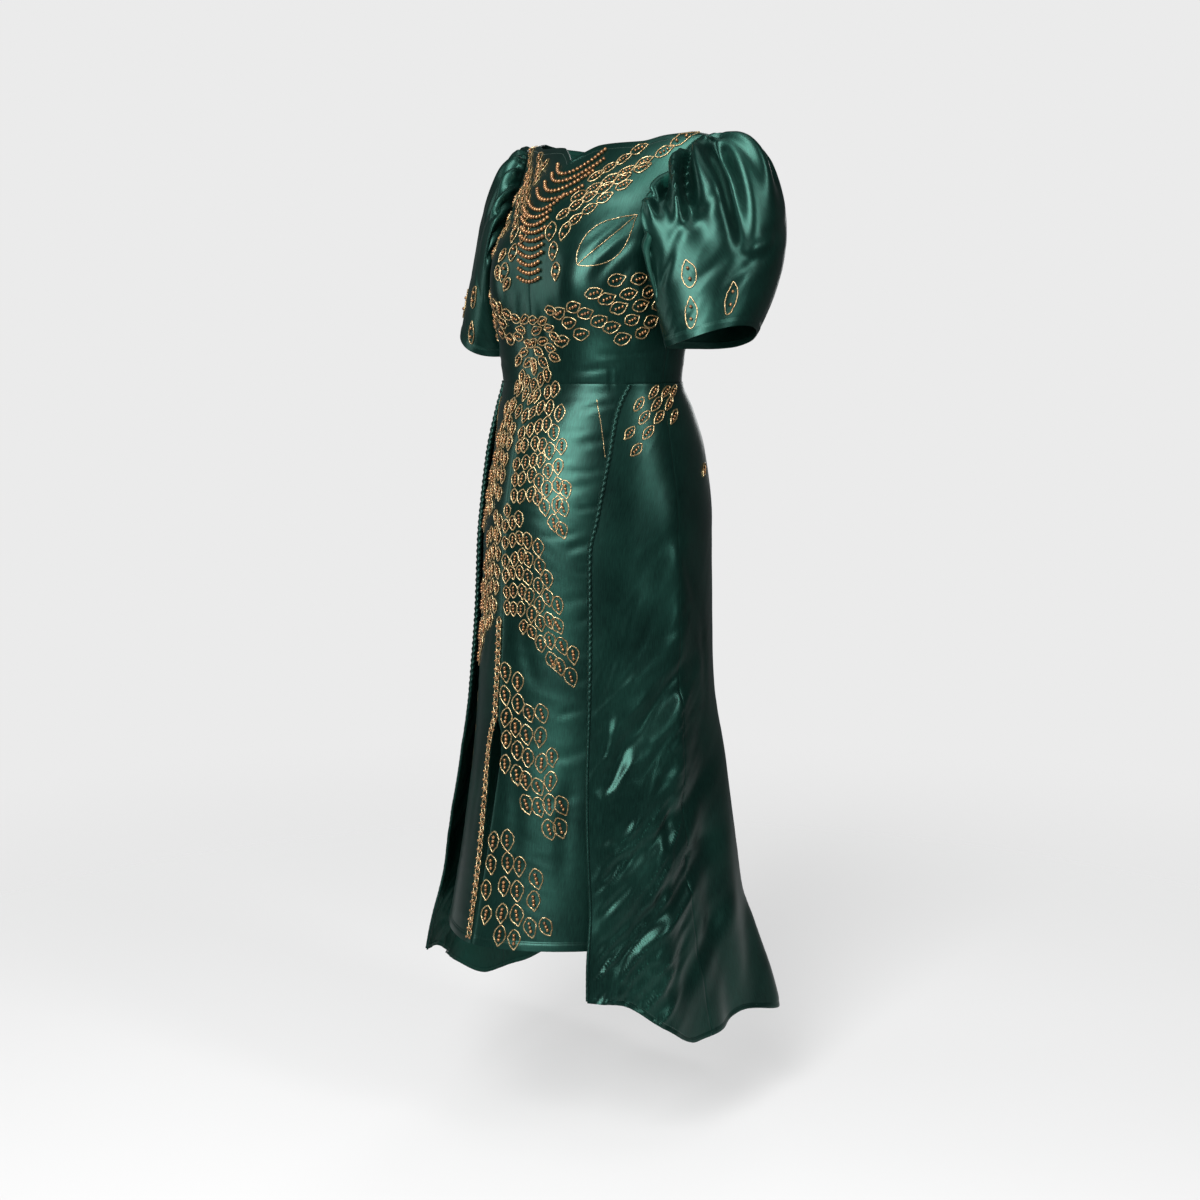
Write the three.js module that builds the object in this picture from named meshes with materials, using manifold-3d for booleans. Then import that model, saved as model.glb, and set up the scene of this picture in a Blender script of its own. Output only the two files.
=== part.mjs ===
// A long satin gown: a sheath with a slit down its centre front, an open overskirt and two puff sleeves.
// Millimetres, +Z up. The gown faces -Y, and its wearer's left side is +X.
// The origin is the middle of the shoulder line, where the wearer's shoulders hold the gown up.
// Heights are given as a drop: millimetres below the shoulder line.
// Round the body, 0 is the centre front, 1 the side seam and 2 the centre back, by length of cloth.

import * as THREE from 'three';
import Module from 'manifold-3d';
import { mergeVertices } from 'three/addons/utils/BufferGeometryUtils.js';

// Cloth
const CLOTH = 1.2; // thickness of a satin wall
const SEAM = 0.3; // gap between two pieces that are sewn together

// Drops of the main lines
const SHOULDER_END = 0; // where the shoulder seam meets the sleeve
const SHOULDER_NECK = -6; // where the shoulder seam meets the neckline
const UNDERARM = 165;
const WAIST = 335;
const SLIT_TOP = 793;
const SHEATH_HEM = 1108;

// How far an armhole is cut into the bodice from the side, as a share of a quarter of the ring
const ARMHOLE_CUT = { front: 0.25, back: 0.25 };
const ARMHOLE_STATIONS = 12;

// Sections of the fitted dress, bodice and sheath skirt, from the shoulders down to the sheath's hem
const BODY = table(
  ['drop', 'halfWidth', 'mid', 'front', 'back', 'frontRound', 'backRound'],
  [
    [-6, 145, 1, -12, 14, 1.6, 1.6],
    [0, 177, 0, -56, 58, 1.5, 1.6],
    [30, 178, -2, -91, 82, 1.5, 1.7],
    [90, 173, -8, -143, 95, 1.6, 2.0],
    [165, 160, -20, -167, 92, 2.2, 2.1],
    [206, 156, -35, -172, 80, 2.1, 2.1],
    [290, 142, -48, -164, 64, 2.2, 2.1],
    [335, 137, -50, -166, 60, 2.0, 2.1],
    [372, 142, -52, -182, 84, 1.8, 2.1],
    [434, 150, -55, -204, 104, 1.6, 2.1],
    [541, 158, -59, -223, 112, 1.6, 2.1],
    [632, 161, -62, -227, 102, 1.6, 2.1],
    [793, 164, -68, -238, 78, 1.6, 2.1],
    [979, 173, -88, -265, 52, 1.6, 2.1],
    [1108, 182, -108, -291, 38, 1.6, 2.1],
  ],
);

// Fullness that the bust darts give each side of the front
const BUST = { out: 82, drop: 197, height: 17, wide: 42, tall: 55 };

// Neckline: how far each column of a panel rises, from the centre to the shoulder seam
const FRONT_NECK = table(['share', 'drop'], [[0, 30], [0.15, 5], [0.25, 8], [0.5, 7], [0.65, 0], [0.8, -3], [1, -6]]);
const BACK_NECK = table(['share', 'drop'], [[0, 22], [0.3, 14], [0.6, 3], [0.8, -2], [1, -6]]);

// Half the width of the centre-front slit
const SLIT = table(
  ['drop', 'halfGap'],
  [[WAIST, SEAM / 2], [SLIT_TOP, SEAM / 2], [815, 7], [845, 10.5], [900, 8], [970, 5], [1040, 3], [SHEATH_HEM, 2]],
);
const SKIRT_STATIONS = [WAIST, 380, 430, 485, 540, 610, 690, SLIT_TOP, 815, 845, 900, 970, 1040, SHEATH_HEM];

// Sections of the overskirt, with the place of its open front edge as a distance from the centre
const OVERSKIRT = table(
  ['drop', 'halfWidth', 'mid', 'front', 'back', 'frontRound', 'backRound', 'edge'],
  [
    [335, 139, -50, -168, 63, 2.0, 2.1, 124],
    [372, 147, -52, -184, 92, 1.9, 2.1, 121],
    [434, 158, -54, -206, 112, 1.7, 2.1, 119],
    [521, 170, -56, -222, 121, 1.6, 2.1, 114],
    [559, 172, -57, -226, 119, 1.6, 2.1, 110],
    [632, 174, -58, -230, 116, 1.6, 2.1, 112],
    [774, 179, -58, -240, 106, 1.7, 2.2, 119],
    [884, 186, -58, -250, 120, 1.9, 2.4, 128],
    [979, 192, -58, -256, 124, 2.2, 2.7, 140],
    [1045, 197, -55, -258, 123, 2.4, 3.0, 148],
    [1129, 205, -45, -275, 134, 2.8, 3.4, 160],
    [1250, 215, -30, -300, 160, 3.0, 4.0, 174],
  ],
);
const OVERSKIRT_LIFT = 2.0; // how far it lies off the sheath at the waist seam
const OVERSKIRT_FREE = 440; // drop from which it hangs on its own sections
const OVERSKIRT_HEM = table(
  ['around', 'drop'],
  [[0.5, 1169], [0.62, 1177], [0.78, 1220], [0.93, 1256], [1.08, 1254], [1.25, 1243], [1.5, 1262], [2, 1236]],
);

// Large folds of the overskirt: where round the body, how wide, how high at the hem, where they start
const OVERSKIRT_FOLDS = [
  { around: 0.8, wide: 0.09, height: 9, from: 620 },
  { around: 1.16, wide: 0.1, height: -12, from: 560 },
  { around: 1.5, wide: 0.1, height: 20, from: 700 },
  { around: 1.72, wide: 0.09, height: -18, from: 640 },
  { around: 1.93, wide: 0.08, height: 14, from: 560 },
];

// Puff sleeve: four lines of cloth run from the armhole to the hem.
// leave is how far a line heads out of the armhole, arrive is where it comes from above the hem.
const SLEEVE_LINES = {
  under: { leave: [24, 0, -20], arrive: [14, 8, 45], hem: [151, -30, -288] },
  front: { leave: [-26, -80, 14], arrive: [-16, -6, 92], hem: [205, -98, -279] },
  top: { leave: [66, 28, 27], arrive: [30, 82, 146], hem: [263, -30, -256] },
  back: { leave: [6, 80, 15], arrive: [4, 92, 110], hem: [205, 38, -282] },
};
const SLEEVE_START = 0.4; // how far the sleeve's head starts from the armhole's edge
const SLEEVE_ROWS = 9;
const SLEEVE_COLUMNS = 36; // round half a sleeve
const PLEATS = { count: 18, height: 9, full: 0.13, gone: 0.72 }; // round a whole sleeve head
const RIGHT_HEM_LOWER = 16; // the right arm hangs straight, so its sleeve's front hem sits lower

// Large folds of a sleeve: degrees round it from the underarm by the front, then the share of the way down
const SLEEVE_FOLDS = [
  { at: 72, wide: 9, height: -11, from: 0.12, to: 0.62 },
  { at: 113, wide: 8, height: -17, from: 0.04, to: 0.55 },
  { at: 150, wide: 11, height: -10, from: 0.08, to: 0.5 },
  { at: 212, wide: 11, height: -14, from: 0.06, to: 0.6 },
  { at: 258, wide: 10, height: -12, from: 0.1, to: 0.58 },
];

// Zip slider and pull tab at the top of the centre-back zip
const SLIDER = { drop: 38, wide: 6, tall: 9, thick: 1.4, bridgeWide: 1.6, bridgeTall: 6, bridgeOut: 3.4 };
const WINDOW = { tall: 3.2, out: 2 };
const PULL = { wide: 5, tall: 21, thick: 1, bar: 1, holeWide: 3, holeTall: 4 };

// Reads a short table and returns a function that gives its columns, smooth and with no overshoot
function table(columns, rows) {
  const keys = rows.map((row) => row[0]);
  const slopes = columns.map((_, c) => rows.map((row, r) => {
    const before = r > 0 ? (row[c] - rows[r - 1][c]) / (keys[r] - keys[r - 1]) : null;
    const after = r < rows.length - 1 ? (rows[r + 1][c] - row[c]) / (keys[r + 1] - keys[r]) : null;
    if (before === null || after === null) return before ?? after;
    return before * after > 0 ? (2 * before * after) / (before + after) : 0;
  }));
  const seen = new Map();
  return (key) => {
    if (seen.has(key)) return seen.get(key);
    const place = Math.min(Math.max(key, keys[0]), keys[keys.length - 1]);
    let r = 0;
    while (r < rows.length - 2 && place > keys[r + 1]) r += 1;
    const span = keys[r + 1] - keys[r];
    const t = (place - keys[r]) / span;
    const values = {};
    columns.forEach((name, c) => {
      const start = rows[r][c] * (1 + 2 * t) * (1 - t) ** 2 + slopes[c][r] * span * t * (1 - t) ** 2;
      const end = rows[r + 1][c] * t * t * (3 - 2 * t) + slopes[c][r + 1] * span * t * t * (t - 1);
      values[name] = start + end;
    });
    seen.set(key, values);
    return values;
  };
}

const mix = (a, b, t) => a + (b - a) * t;
const smooth = (a, b, x) => THREE.MathUtils.smoothstep(x, a, b);
const bell = (x, centre, wide) => Math.exp(-(((x - centre) / wide) ** 2));

// A quarter of a section, from its centre to its side, with the length of cloth up to each point
const QUARTER_STEPS = 72; // points that a quarter is measured through
function quarter(halfWidth, mid, end, round) {
  const points = [];
  let length = 0;
  for (let i = 0; i <= QUARTER_STEPS; i += 1) {
    const angle = (Math.PI / 2) * (i / QUARTER_STEPS);
    const x = halfWidth * Math.max(Math.sin(angle), 0) ** (2 / round);
    const y = mid + (end - mid) * Math.max(Math.cos(angle), 0) ** (2 / round);
    if (i > 0) length += Math.hypot(x - points[i - 1].x, y - points[i - 1].y);
    points.push({ x, y, length });
  }
  return points;
}

// The quarters of a section are worked out once for each drop
const quartersSeen = new Map();
function quarters(sections, drop) {
  if (!quartersSeen.has(sections)) quartersSeen.set(sections, new Map());
  const seen = quartersSeen.get(sections);
  if (!seen.has(drop)) {
    const row = sections(drop);
    seen.set(drop, {
      front: quarter(row.halfWidth, row.mid, row.front, row.frontRound),
      back: quarter(row.halfWidth, row.mid, row.back, row.backRound),
    });
  }
  return seen.get(drop);
}

const quarterLength = (points) => points[points.length - 1].length;

// The point of a section at a place round the body. Past either centre line it is the mirror image.
function ringPoint(sections, around, drop) {
  const mirrored = around < 0 || around > 2;
  const place = around < 0 ? -around : around > 2 ? 4 - around : around;
  const rings = quarters(sections, drop);
  const points = place <= 1 ? rings.front : rings.back;
  const target = (place <= 1 ? place : 2 - place) * quarterLength(points);
  let i = 1;
  while (i < points.length - 1 && points[i].length < target) i += 1;
  const t = (target - points[i - 1].length) / (points[i].length - points[i - 1].length);
  const x = mix(points[i - 1].x, points[i].x, t);
  return { x: mirrored ? -x : x, y: mix(points[i - 1].y, points[i].y, t) };
}

// The place round the front of a section that lies at a distance out from the centre
function placeAt(sections, out, drop) {
  const points = quarters(sections, drop).front;
  const i = Math.max(points.findIndex((point) => point.x > out), 1);
  const t = (out - points[i - 1].x) / (points[i].x - points[i - 1].x);
  return mix(points[i - 1].length, points[i].length, t) / quarterLength(points);
}

// The outside of the fitted dress
function bodySurface(around, drop) {
  const { x, y } = ringPoint(BODY, around, drop);
  const toFront = around < 1 ? Math.cos((around * Math.PI) / 2) : 0;
  const bust = BUST.height * toFront * bell(Math.abs(x), BUST.out, BUST.wide) * bell(drop, BUST.drop, BUST.tall);
  return new THREE.Vector3(x, y - bust, -drop);
}

// The outside of the overskirt: on the sheath at the waist, then free, with its large folds
function overskirtSurface(around, drop) {
  const lying = bodySurface(around, drop).addScaledVector(outward(bodySurface, around, drop), OVERSKIRT_LIFT);
  const { x, y } = ringPoint(OVERSKIRT, around, drop);
  const out = new THREE.Vector2(x, y - OVERSKIRT(drop).mid).normalize();
  let fold = 0;
  for (const { around: at, wide, height, from } of OVERSKIRT_FOLDS) {
    fold += height * bell(around, at, wide) * smooth(from, OVERSKIRT_HEM(around).drop, drop);
  }
  const hanging = new THREE.Vector3(x + out.x * fold, y + out.y * fold, -drop);
  return lying.lerp(hanging, smooth(WAIST, OVERSKIRT_FREE, drop));
}

// The armhole edge of the bodice, at an angle round it: 0 under the arm, 180 on the shoulder, then back
function armholePlace(angle) {
  const rise = (1 - Math.cos(angle)) / 2;
  const cut = Math.sin(angle) >= 0 ? -ARMHOLE_CUT.front : ARMHOLE_CUT.back;
  return { around: 1 + cut * Math.abs(Math.sin(angle)), drop: mix(UNDERARM, SHOULDER_END, rise) };
}

// The same edge as it is cut, in straight steps between its stations
function armholeEdge(angle) {
  const step = Math.PI / ARMHOLE_STATIONS;
  const k = Math.floor(angle / step + 1e-9);
  const [a, b] = [armholePlace(k * step), armholePlace((k + 1) * step)];
  const start = bodySurface(a.around, a.drop);
  return start.lerp(bodySurface(b.around, b.drop), angle / step - k);
}

// A value between the four lines of the sleeve, smooth round it
function betweenLines(name, angle) {
  const { under, front, top, back } = SLEEVE_LINES;
  const value = [0, 1, 2].map((i) => {
    const [u, f, t, b] = [under, front, top, back].map((line) => line[name][i]);
    const mean = (u + f + t + b) / 4;
    const sideways = ((u - t) / 2) * Math.cos(angle) + ((f - b) / 2) * Math.sin(angle);
    return mean + sideways + ((u - f + t - b) / 4) * Math.cos(2 * angle);
  });
  return new THREE.Vector3(...value);
}

// The outside of a puff sleeve at an angle round it and a share of the way down to its hem
function sleeveSurface(angle, down, hemLower) {
  const front = Math.max(Math.sin(angle + 0.5), 0);
  const start = armholeEdge(angle);
  const hem = betweenLines('hem', angle);
  hem.z -= hemLower * front;
  const leaving = start.clone().add(betweenLines('leave', angle));
  const arriving = hem.clone().add(betweenLines('arrive', angle));
  const point = new THREE.CubicBezierCurve3(start, leaving, arriving, hem).getPoint(down);
  const axis = betweenLines('hem', 0).lerp(betweenLines('hem', Math.PI), 0.5);
  const out = point.clone().sub(axis).setZ(0).normalize();
  const outside = (1 - Math.cos(angle)) / 2;
  const lie = smooth(0, PLEATS.full, down) * (1 - smooth(PLEATS.full, PLEATS.gone, down));
  const wave = 0.5 + 0.5 * Math.cos(PLEATS.count * angle + 0.6 * Math.sin(3 * angle));
  let relief = PLEATS.height * outside * lie * wave;
  const degrees = THREE.MathUtils.radToDeg(angle);
  for (const { at, wide, height, from, to } of SLEEVE_FOLDS) {
    const along = smooth(from, (from + to) / 2, down) * (1 - smooth((from + to) / 2, to, down));
    relief += height * bell(degrees, at, wide) * along;
  }
  return point.addScaledVector(out, relief);
}

// The direction that points out of the cloth
function outward(surface, across, down, stepAcross = 0.01, stepDown = 1) {
  const alongAcross = surface(across + stepAcross, down).sub(surface(across - stepAcross, down));
  const alongDown = surface(across, down + stepDown).sub(surface(across, down - stepDown));
  return alongDown.cross(alongAcross).normalize();
}

// One closed wall of cloth. place(i, j) gives the two coordinates of a grid point on the surface,
// and for a point beside a seam the coordinate of the seam, which both its pieces are square to.
function wall(surface, columns, rows, place, steps = [0.01, 1]) {
  const outer = [];
  const inner = [];
  for (let j = 0; j <= rows; j += 1) {
    for (let i = 0; i <= columns; i += 1) {
      const [across, down, seam = across] = place(i, j);
      const point = surface(across, down);
      outer.push(point);
      inner.push(point.clone().addScaledVector(outward(surface, seam, down, ...steps), -CLOTH));
    }
  }
  const positions = [...outer, ...inner].flatMap((point) => point.toArray());
  const at = (i, j, side) => side * outer.length + j * (columns + 1) + i;
  const faces = [];
  const quad = (a, b, c, d) => faces.push(a, b, c, a, c, d);
  for (let j = 0; j < rows; j += 1) {
    for (let i = 0; i < columns; i += 1) {
      quad(at(i, j, 0), at(i, j + 1, 0), at(i + 1, j + 1, 0), at(i + 1, j, 0));
      quad(at(i, j, 1), at(i + 1, j, 1), at(i + 1, j + 1, 1), at(i, j + 1, 1));
    }
  }
  for (let i = 0; i < columns; i += 1) {
    quad(at(i, 0, 0), at(i + 1, 0, 0), at(i + 1, 0, 1), at(i, 0, 1));
    quad(at(i, rows, 1), at(i + 1, rows, 1), at(i + 1, rows, 0), at(i, rows, 0));
  }
  for (let j = 0; j < rows; j += 1) {
    quad(at(0, j, 1), at(0, j + 1, 1), at(0, j + 1, 0), at(0, j, 0));
    quad(at(columns, j, 0), at(columns, j + 1, 0), at(columns, j + 1, 1), at(columns, j, 1));
  }
  const geometry = new THREE.BufferGeometry();
  geometry.setAttribute('position', new THREE.Float32BufferAttribute(positions, 3));
  geometry.setIndex(faces);
  return geometry;
}

// The same piece for the wearer's other side
function mirrored(geometry) {
  const copy = geometry.clone();
  const position = copy.getAttribute('position');
  for (let i = 0; i < position.count; i += 1) position.setX(i, -position.getX(i));
  const index = copy.getIndex();
  for (let i = 0; i < index.count; i += 3) {
    const second = index.getX(i + 1);
    index.setX(i + 1, index.getX(i + 2));
    index.setX(i + 2, second);
  }
  return copy;
}

// Half a seam gap, as a share of a quarter of the ring
const halfSeam = (sections, drop, side) => SEAM / 2 / quarterLength(quarters(sections, drop)[side]);

// Bodice panel: side is front or back. Columns run from the centre line to the side seam and armhole.
const BODICE_COLUMNS = 10;
const NOTCH_CROWDING = 1.18; // sets the columns closer at the centre, so that one meets the notch's corner
const BODICE_LOW_ROWS = 5;
function bodicePanel(side) {
  const neck = side === 'front' ? FRONT_NECK : BACK_NECK;
  const turn = side === 'front' ? 1 : -1;
  const rows = BODICE_LOW_ROWS + ARMHOLE_STATIONS + 1;
  return wall(bodySurface, BODICE_COLUMNS, rows, (i, j) => {
    const even = side === 'front' ? i / BODICE_COLUMNS : 1 - i / BODICE_COLUMNS;
    const share = even ** NOTCH_CROWDING;
    const row = rows - j;
    let edge = { around: 1, drop: SHOULDER_NECK };
    if (row <= BODICE_LOW_ROWS) edge = { around: 1, drop: mix(WAIST - SEAM / 2, UNDERARM, row / BODICE_LOW_ROWS) };
    else if (j > 0) edge = armholePlace((turn * Math.PI * (row - BODICE_LOW_ROWS)) / ARMHOLE_STATIONS);
    const raised = Math.max((UNDERARM - edge.drop) / (UNDERARM - SHOULDER_NECK), 0);
    const drop = row <= BODICE_LOW_ROWS ? edge.drop : mix(UNDERARM, neck(share).drop, raised);
    const gap = halfSeam(BODY, drop, side);
    const start = side === 'front' ? gap : 2 - gap;
    return [mix(start, edge.around - turn * gap, share), drop];
  });
}

// Sheath skirt panel, with the slit on the front
const SKIRT_COLUMNS = 9;
function skirtPanel(side) {
  return wall(bodySurface, SKIRT_COLUMNS, SKIRT_STATIONS.length - 1, (i, j) => {
    const drop = j === 0 ? WAIST + SEAM / 2 : SKIRT_STATIONS[j];
    const gap = halfSeam(BODY, drop, side);
    const share = i / SKIRT_COLUMNS;
    if (side === 'back') return [mix(1 + gap, 2 - gap, share), drop];
    return [mix(placeAt(BODY, SLIT(drop).halfGap, drop), 1 - gap, share), drop];
  });
}

// Overskirt panel: the side panel runs from the open edge to the side seam, the back one to the centre
const OVERSKIRT_COLUMNS = 11;
const OVERSKIRT_ROWS = 15;
function overskirtPanel(side) {
  return wall(overskirtSurface, OVERSKIRT_COLUMNS, OVERSKIRT_ROWS, (i, j) => {
    const share = i / OVERSKIRT_COLUMNS;
    const down = j / OVERSKIRT_ROWS;
    const hemAround = side === 'front' ? mix(0.5, 1, share) : mix(1, 2, share);
    const drop = mix(WAIST + SEAM / 2, OVERSKIRT_HEM(hemAround).drop, down);
    const gap = halfSeam(OVERSKIRT, drop, side);
    if (side === 'back') return [mix(1 + gap, 2 - gap, share), drop];
    return [mix(placeAt(OVERSKIRT, OVERSKIRT(drop).edge, drop), 1 - gap, share), drop];
  });
}

// Half a sleeve: the front half runs from the underarm to the shoulder, the back half on round
function sleeveHalf(side, hand) {
  const first = side === 'front' ? 0 : Math.PI;
  const surface = (angle, down) => sleeveSurface(angle, down, hand === 'right' ? RIGHT_HEM_LOWER : 0);
  return wall(surface, SLEEVE_COLUMNS, SLEEVE_ROWS, (i, j) => {
    const angle = first + (Math.PI * i) / SLEEVE_COLUMNS;
    const leaving = betweenLines('leave', angle).length() * 3;
    const down = mix(SLEEVE_START / leaving, 1, j / SLEEVE_ROWS);
    const perRadian = surface(angle + 0.01, down).distanceTo(surface(angle - 0.01, down)) / 0.02;
    const gapAngle = SEAM / 2 / perRadian;
    if (i === 0) return [angle + gapAngle, down, angle];
    if (i === SLEEVE_COLUMNS) return [angle - gapAngle, down, angle];
    return [angle, down];
  }, [0.02, 0.005]);
}

// Joining closed meshes into one solid
const wasm = await Module();
wasm.setup();

function toSolid(geometry) {
  const bare = geometry.clone();
  bare.deleteAttribute('normal');
  bare.deleteAttribute('uv');
  const merged = mergeVertices(bare, 1e-4);
  const vertProperties = new Float32Array(merged.getAttribute('position').array);
  const triVerts = new Uint32Array(merged.getIndex().array);
  return new wasm.Manifold(new wasm.Mesh({ numProp: 3, vertProperties, triVerts }));
}

function toGeometry(solid) {
  const mesh = solid.getMesh();
  const geometry = new THREE.BufferGeometry();
  geometry.setAttribute('position', new THREE.Float32BufferAttribute(mesh.vertProperties, 3));
  geometry.setIndex([...mesh.triVerts]);
  return geometry;
}

function roundedOutline(Kind, wide, bottom, top, radius) {
  const outline = new Kind();
  const half = wide / 2 - radius;
  outline.absarc(-half, bottom + radius, radius, Math.PI, 1.5 * Math.PI);
  outline.absarc(half, bottom + radius, radius, 1.5 * Math.PI, 2 * Math.PI);
  outline.absarc(half, top - radius, radius, 0, 0.5 * Math.PI);
  outline.absarc(-half, top - radius, radius, 0.5 * Math.PI, Math.PI);
  outline.closePath();
  return outline;
}

// Zip slider: a plate with a bridge that holds the pull tab.
// In its local axes Y points out of the cloth and Z up along it.
function sliderGeometry() {
  const plate = new THREE.ExtrudeGeometry(
    roundedOutline(THREE.Shape, SLIDER.wide, -SLIDER.tall / 2, SLIDER.tall / 2, 1.5),
    { depth: SLIDER.thick, bevelEnabled: false, curveSegments: 2 },
  );
  plate.rotateX(Math.PI / 2).translate(0, SEAM + SLIDER.thick, 0);
  const side = roundedOutline(THREE.Shape, SLIDER.bridgeTall, 0, SLIDER.bridgeOut + SLIDER.thick, 0.9);
  side.holes.push(roundedOutline(THREE.Path, WINDOW.tall, SLIDER.thick + 0.2, SLIDER.thick + 0.2 + WINDOW.out, 0.4));
  const bridge = new THREE.ExtrudeGeometry(side, { depth: SLIDER.bridgeWide, bevelEnabled: false, curveSegments: 2 });
  const turn = new THREE.Matrix4().makeBasis(
    new THREE.Vector3(0, 0, 1),
    new THREE.Vector3(0, 1, 0),
    new THREE.Vector3(-1, 0, 0),
  );
  bridge.applyMatrix4(turn).translate(SLIDER.bridgeWide / 2, SEAM, 0);
  return toGeometry(toSolid(plate).add(toSolid(bridge)));
}

// Pull tab: a frame with a drop-shaped end. Its top bar runs through the bridge's window.
function pullGeometry() {
  const outline = new THREE.Shape();
  const half = PULL.wide / 2;
  outline.moveTo(half, PULL.bar / 2);
  outline.lineTo(-half, PULL.bar / 2);
  outline.lineTo(-half * 0.8, -PULL.tall * 0.45);
  outline.absarc(0, half - PULL.tall, half * 1.1, Math.PI, 2 * Math.PI);
  outline.lineTo(half * 0.8, -PULL.tall * 0.45);
  outline.closePath();
  outline.holes.push(roundedOutline(THREE.Path, PULL.holeWide, -PULL.bar / 2 - PULL.holeTall, -PULL.bar / 2, 0.4));
  const tab = new THREE.ExtrudeGeometry(outline, { depth: PULL.thick, bevelEnabled: false, curveSegments: 4 });
  return tab.translate(0, 0, -PULL.thick / 2).rotateX(Math.PI / 2);
}

// The whole gown
const satin = (colour) => new THREE.MeshStandardMaterial({ color: colour, roughness: 0.32, metalness: 0 });
const brass = () => new THREE.MeshStandardMaterial({ color: '#a98447', roughness: 0.35, metalness: 1 });

const gown = new THREE.Group();
function add(name, geometry, material, parent = gown) {
  const mesh = new THREE.Mesh(geometry, material);
  mesh.name = name;
  parent.add(mesh);
}

const panels = [
  { name: (hand) => `bodice_front_${hand}`, make: () => bodicePanel('front'), colour: '#1d5f4e' },
  { name: (hand) => `bodice_back_${hand}`, make: () => bodicePanel('back'), colour: '#1a5646' },
  { name: (hand) => `skirt_front_${hand}`, make: () => skirtPanel('front'), colour: '#1f6552' },
  { name: (hand) => `skirt_back_${hand}`, make: () => skirtPanel('back'), colour: '#184f41' },
  { name: (hand) => `overskirt_side_${hand}`, make: () => overskirtPanel('front'), colour: '#1b594a' },
  { name: (hand) => `overskirt_back_${hand}`, make: () => overskirtPanel('back'), colour: '#174b3e' },
  { name: (hand) => `sleeve_${hand}_front`, make: (hand) => sleeveHalf('front', hand), colour: '#1e6250' },
  { name: (hand) => `sleeve_${hand}_back`, make: (hand) => sleeveHalf('back', hand), colour: '#195243' },
];
for (const { name, make, colour } of panels) {
  add(name('left'), make('left'), satin(colour));
  add(name('right'), mirrored(make('right')), satin(colour));
}

const zip = new THREE.Group();
const zipNormal = outward(bodySurface, 2, SLIDER.drop);
zip.position.copy(bodySurface(2, SLIDER.drop));
zip.rotation.x = Math.atan2(zipNormal.z, zipNormal.y);
gown.add(zip);
add('zip_slider', sliderGeometry(), brass(), zip);
const hinge = new THREE.Group();
hinge.position.set(0, SEAM + SLIDER.thick + 0.2 + WINDOW.out / 2, 0);
zip.add(hinge);
add('zip_pull', pullGeometry(), brass(), hinge);

export default gown;
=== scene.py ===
# %% [markdown]
# A long satin gown with beadwork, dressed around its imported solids.
# The real gown is a fitted sheath with a centre-front slit, an open overskirt sewn in at the waist, and
# two puff sleeves, all in a heavy bottle-green satin, hand-beaded with leaves of bugle and round beads.
# The solids give each panel's form. Here every panel becomes a thin shell of cloth on that same form,
# with its creases, hems and sewing, and the beads are laid out on the cloth by short rules.
# The gown's tables are in millimetres, and only the finished meshes are turned to metres.

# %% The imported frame
import math

import bmesh
import bpy
import numpy as np
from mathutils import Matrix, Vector


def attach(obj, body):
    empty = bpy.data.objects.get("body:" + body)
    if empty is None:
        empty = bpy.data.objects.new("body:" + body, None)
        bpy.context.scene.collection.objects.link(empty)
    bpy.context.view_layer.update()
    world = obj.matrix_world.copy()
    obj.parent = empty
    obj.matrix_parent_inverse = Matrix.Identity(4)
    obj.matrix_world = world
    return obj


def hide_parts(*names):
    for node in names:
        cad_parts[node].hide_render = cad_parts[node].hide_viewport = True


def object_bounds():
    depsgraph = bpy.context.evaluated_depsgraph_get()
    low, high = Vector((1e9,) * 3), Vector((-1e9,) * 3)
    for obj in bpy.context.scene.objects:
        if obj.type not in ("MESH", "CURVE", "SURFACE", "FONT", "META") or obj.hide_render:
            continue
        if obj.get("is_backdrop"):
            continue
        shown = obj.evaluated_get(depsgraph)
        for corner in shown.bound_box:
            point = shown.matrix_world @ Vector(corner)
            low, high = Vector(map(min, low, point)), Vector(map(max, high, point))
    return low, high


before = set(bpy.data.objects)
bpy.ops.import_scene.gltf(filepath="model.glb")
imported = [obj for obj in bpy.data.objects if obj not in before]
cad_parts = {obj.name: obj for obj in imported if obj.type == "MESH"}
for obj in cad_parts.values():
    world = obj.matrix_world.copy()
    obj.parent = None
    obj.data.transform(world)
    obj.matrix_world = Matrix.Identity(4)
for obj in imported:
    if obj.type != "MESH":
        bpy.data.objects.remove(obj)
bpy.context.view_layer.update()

MM = 0.001

# %% [markdown]
# The camera stands halfway between the gown's front and its left side, just above the waist's height,
# and looks slightly down.
# Its place, lens and tilt were worked out from the gown's own symmetric points, so no shift is needed.

# %% The camera
CAMERA_PLACE = (1.9450, -2.0549, -0.2531)
CAMERA_TURN = (math.radians(81.9216), 0.0, math.radians(43.899))
LENS_MM = 58.51
SENSOR_MM = 36.0
camera = bpy.data.objects.new("camera", bpy.data.cameras.new("camera"))
camera.location = CAMERA_PLACE
camera.rotation_euler = CAMERA_TURN
camera.data.lens = LENS_MM
camera.data.sensor_width = SENSOR_MM
bpy.context.scene.collection.objects.link(camera)
bpy.context.scene.camera = camera
print("camera at", CAMERA_PLACE)

# %% [markdown]
# Colours are written as sRGB hex, as a colour picker gives them. A shader wants linear light, so one
# function turns them. One more adds a node with its settings and links.

# %% Colour and node helpers
def linear(hex_colour):
    """The linear RGBA colour of an sRGB hex value"""
    parts = [int(hex_colour[i:i + 2], 16) / 255 for i in (1, 3, 5)]
    return (*[c / 12.92 if c <= 0.04045 else ((c + 0.055) / 1.055) ** 2.4 for c in parts], 1.0)


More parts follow.
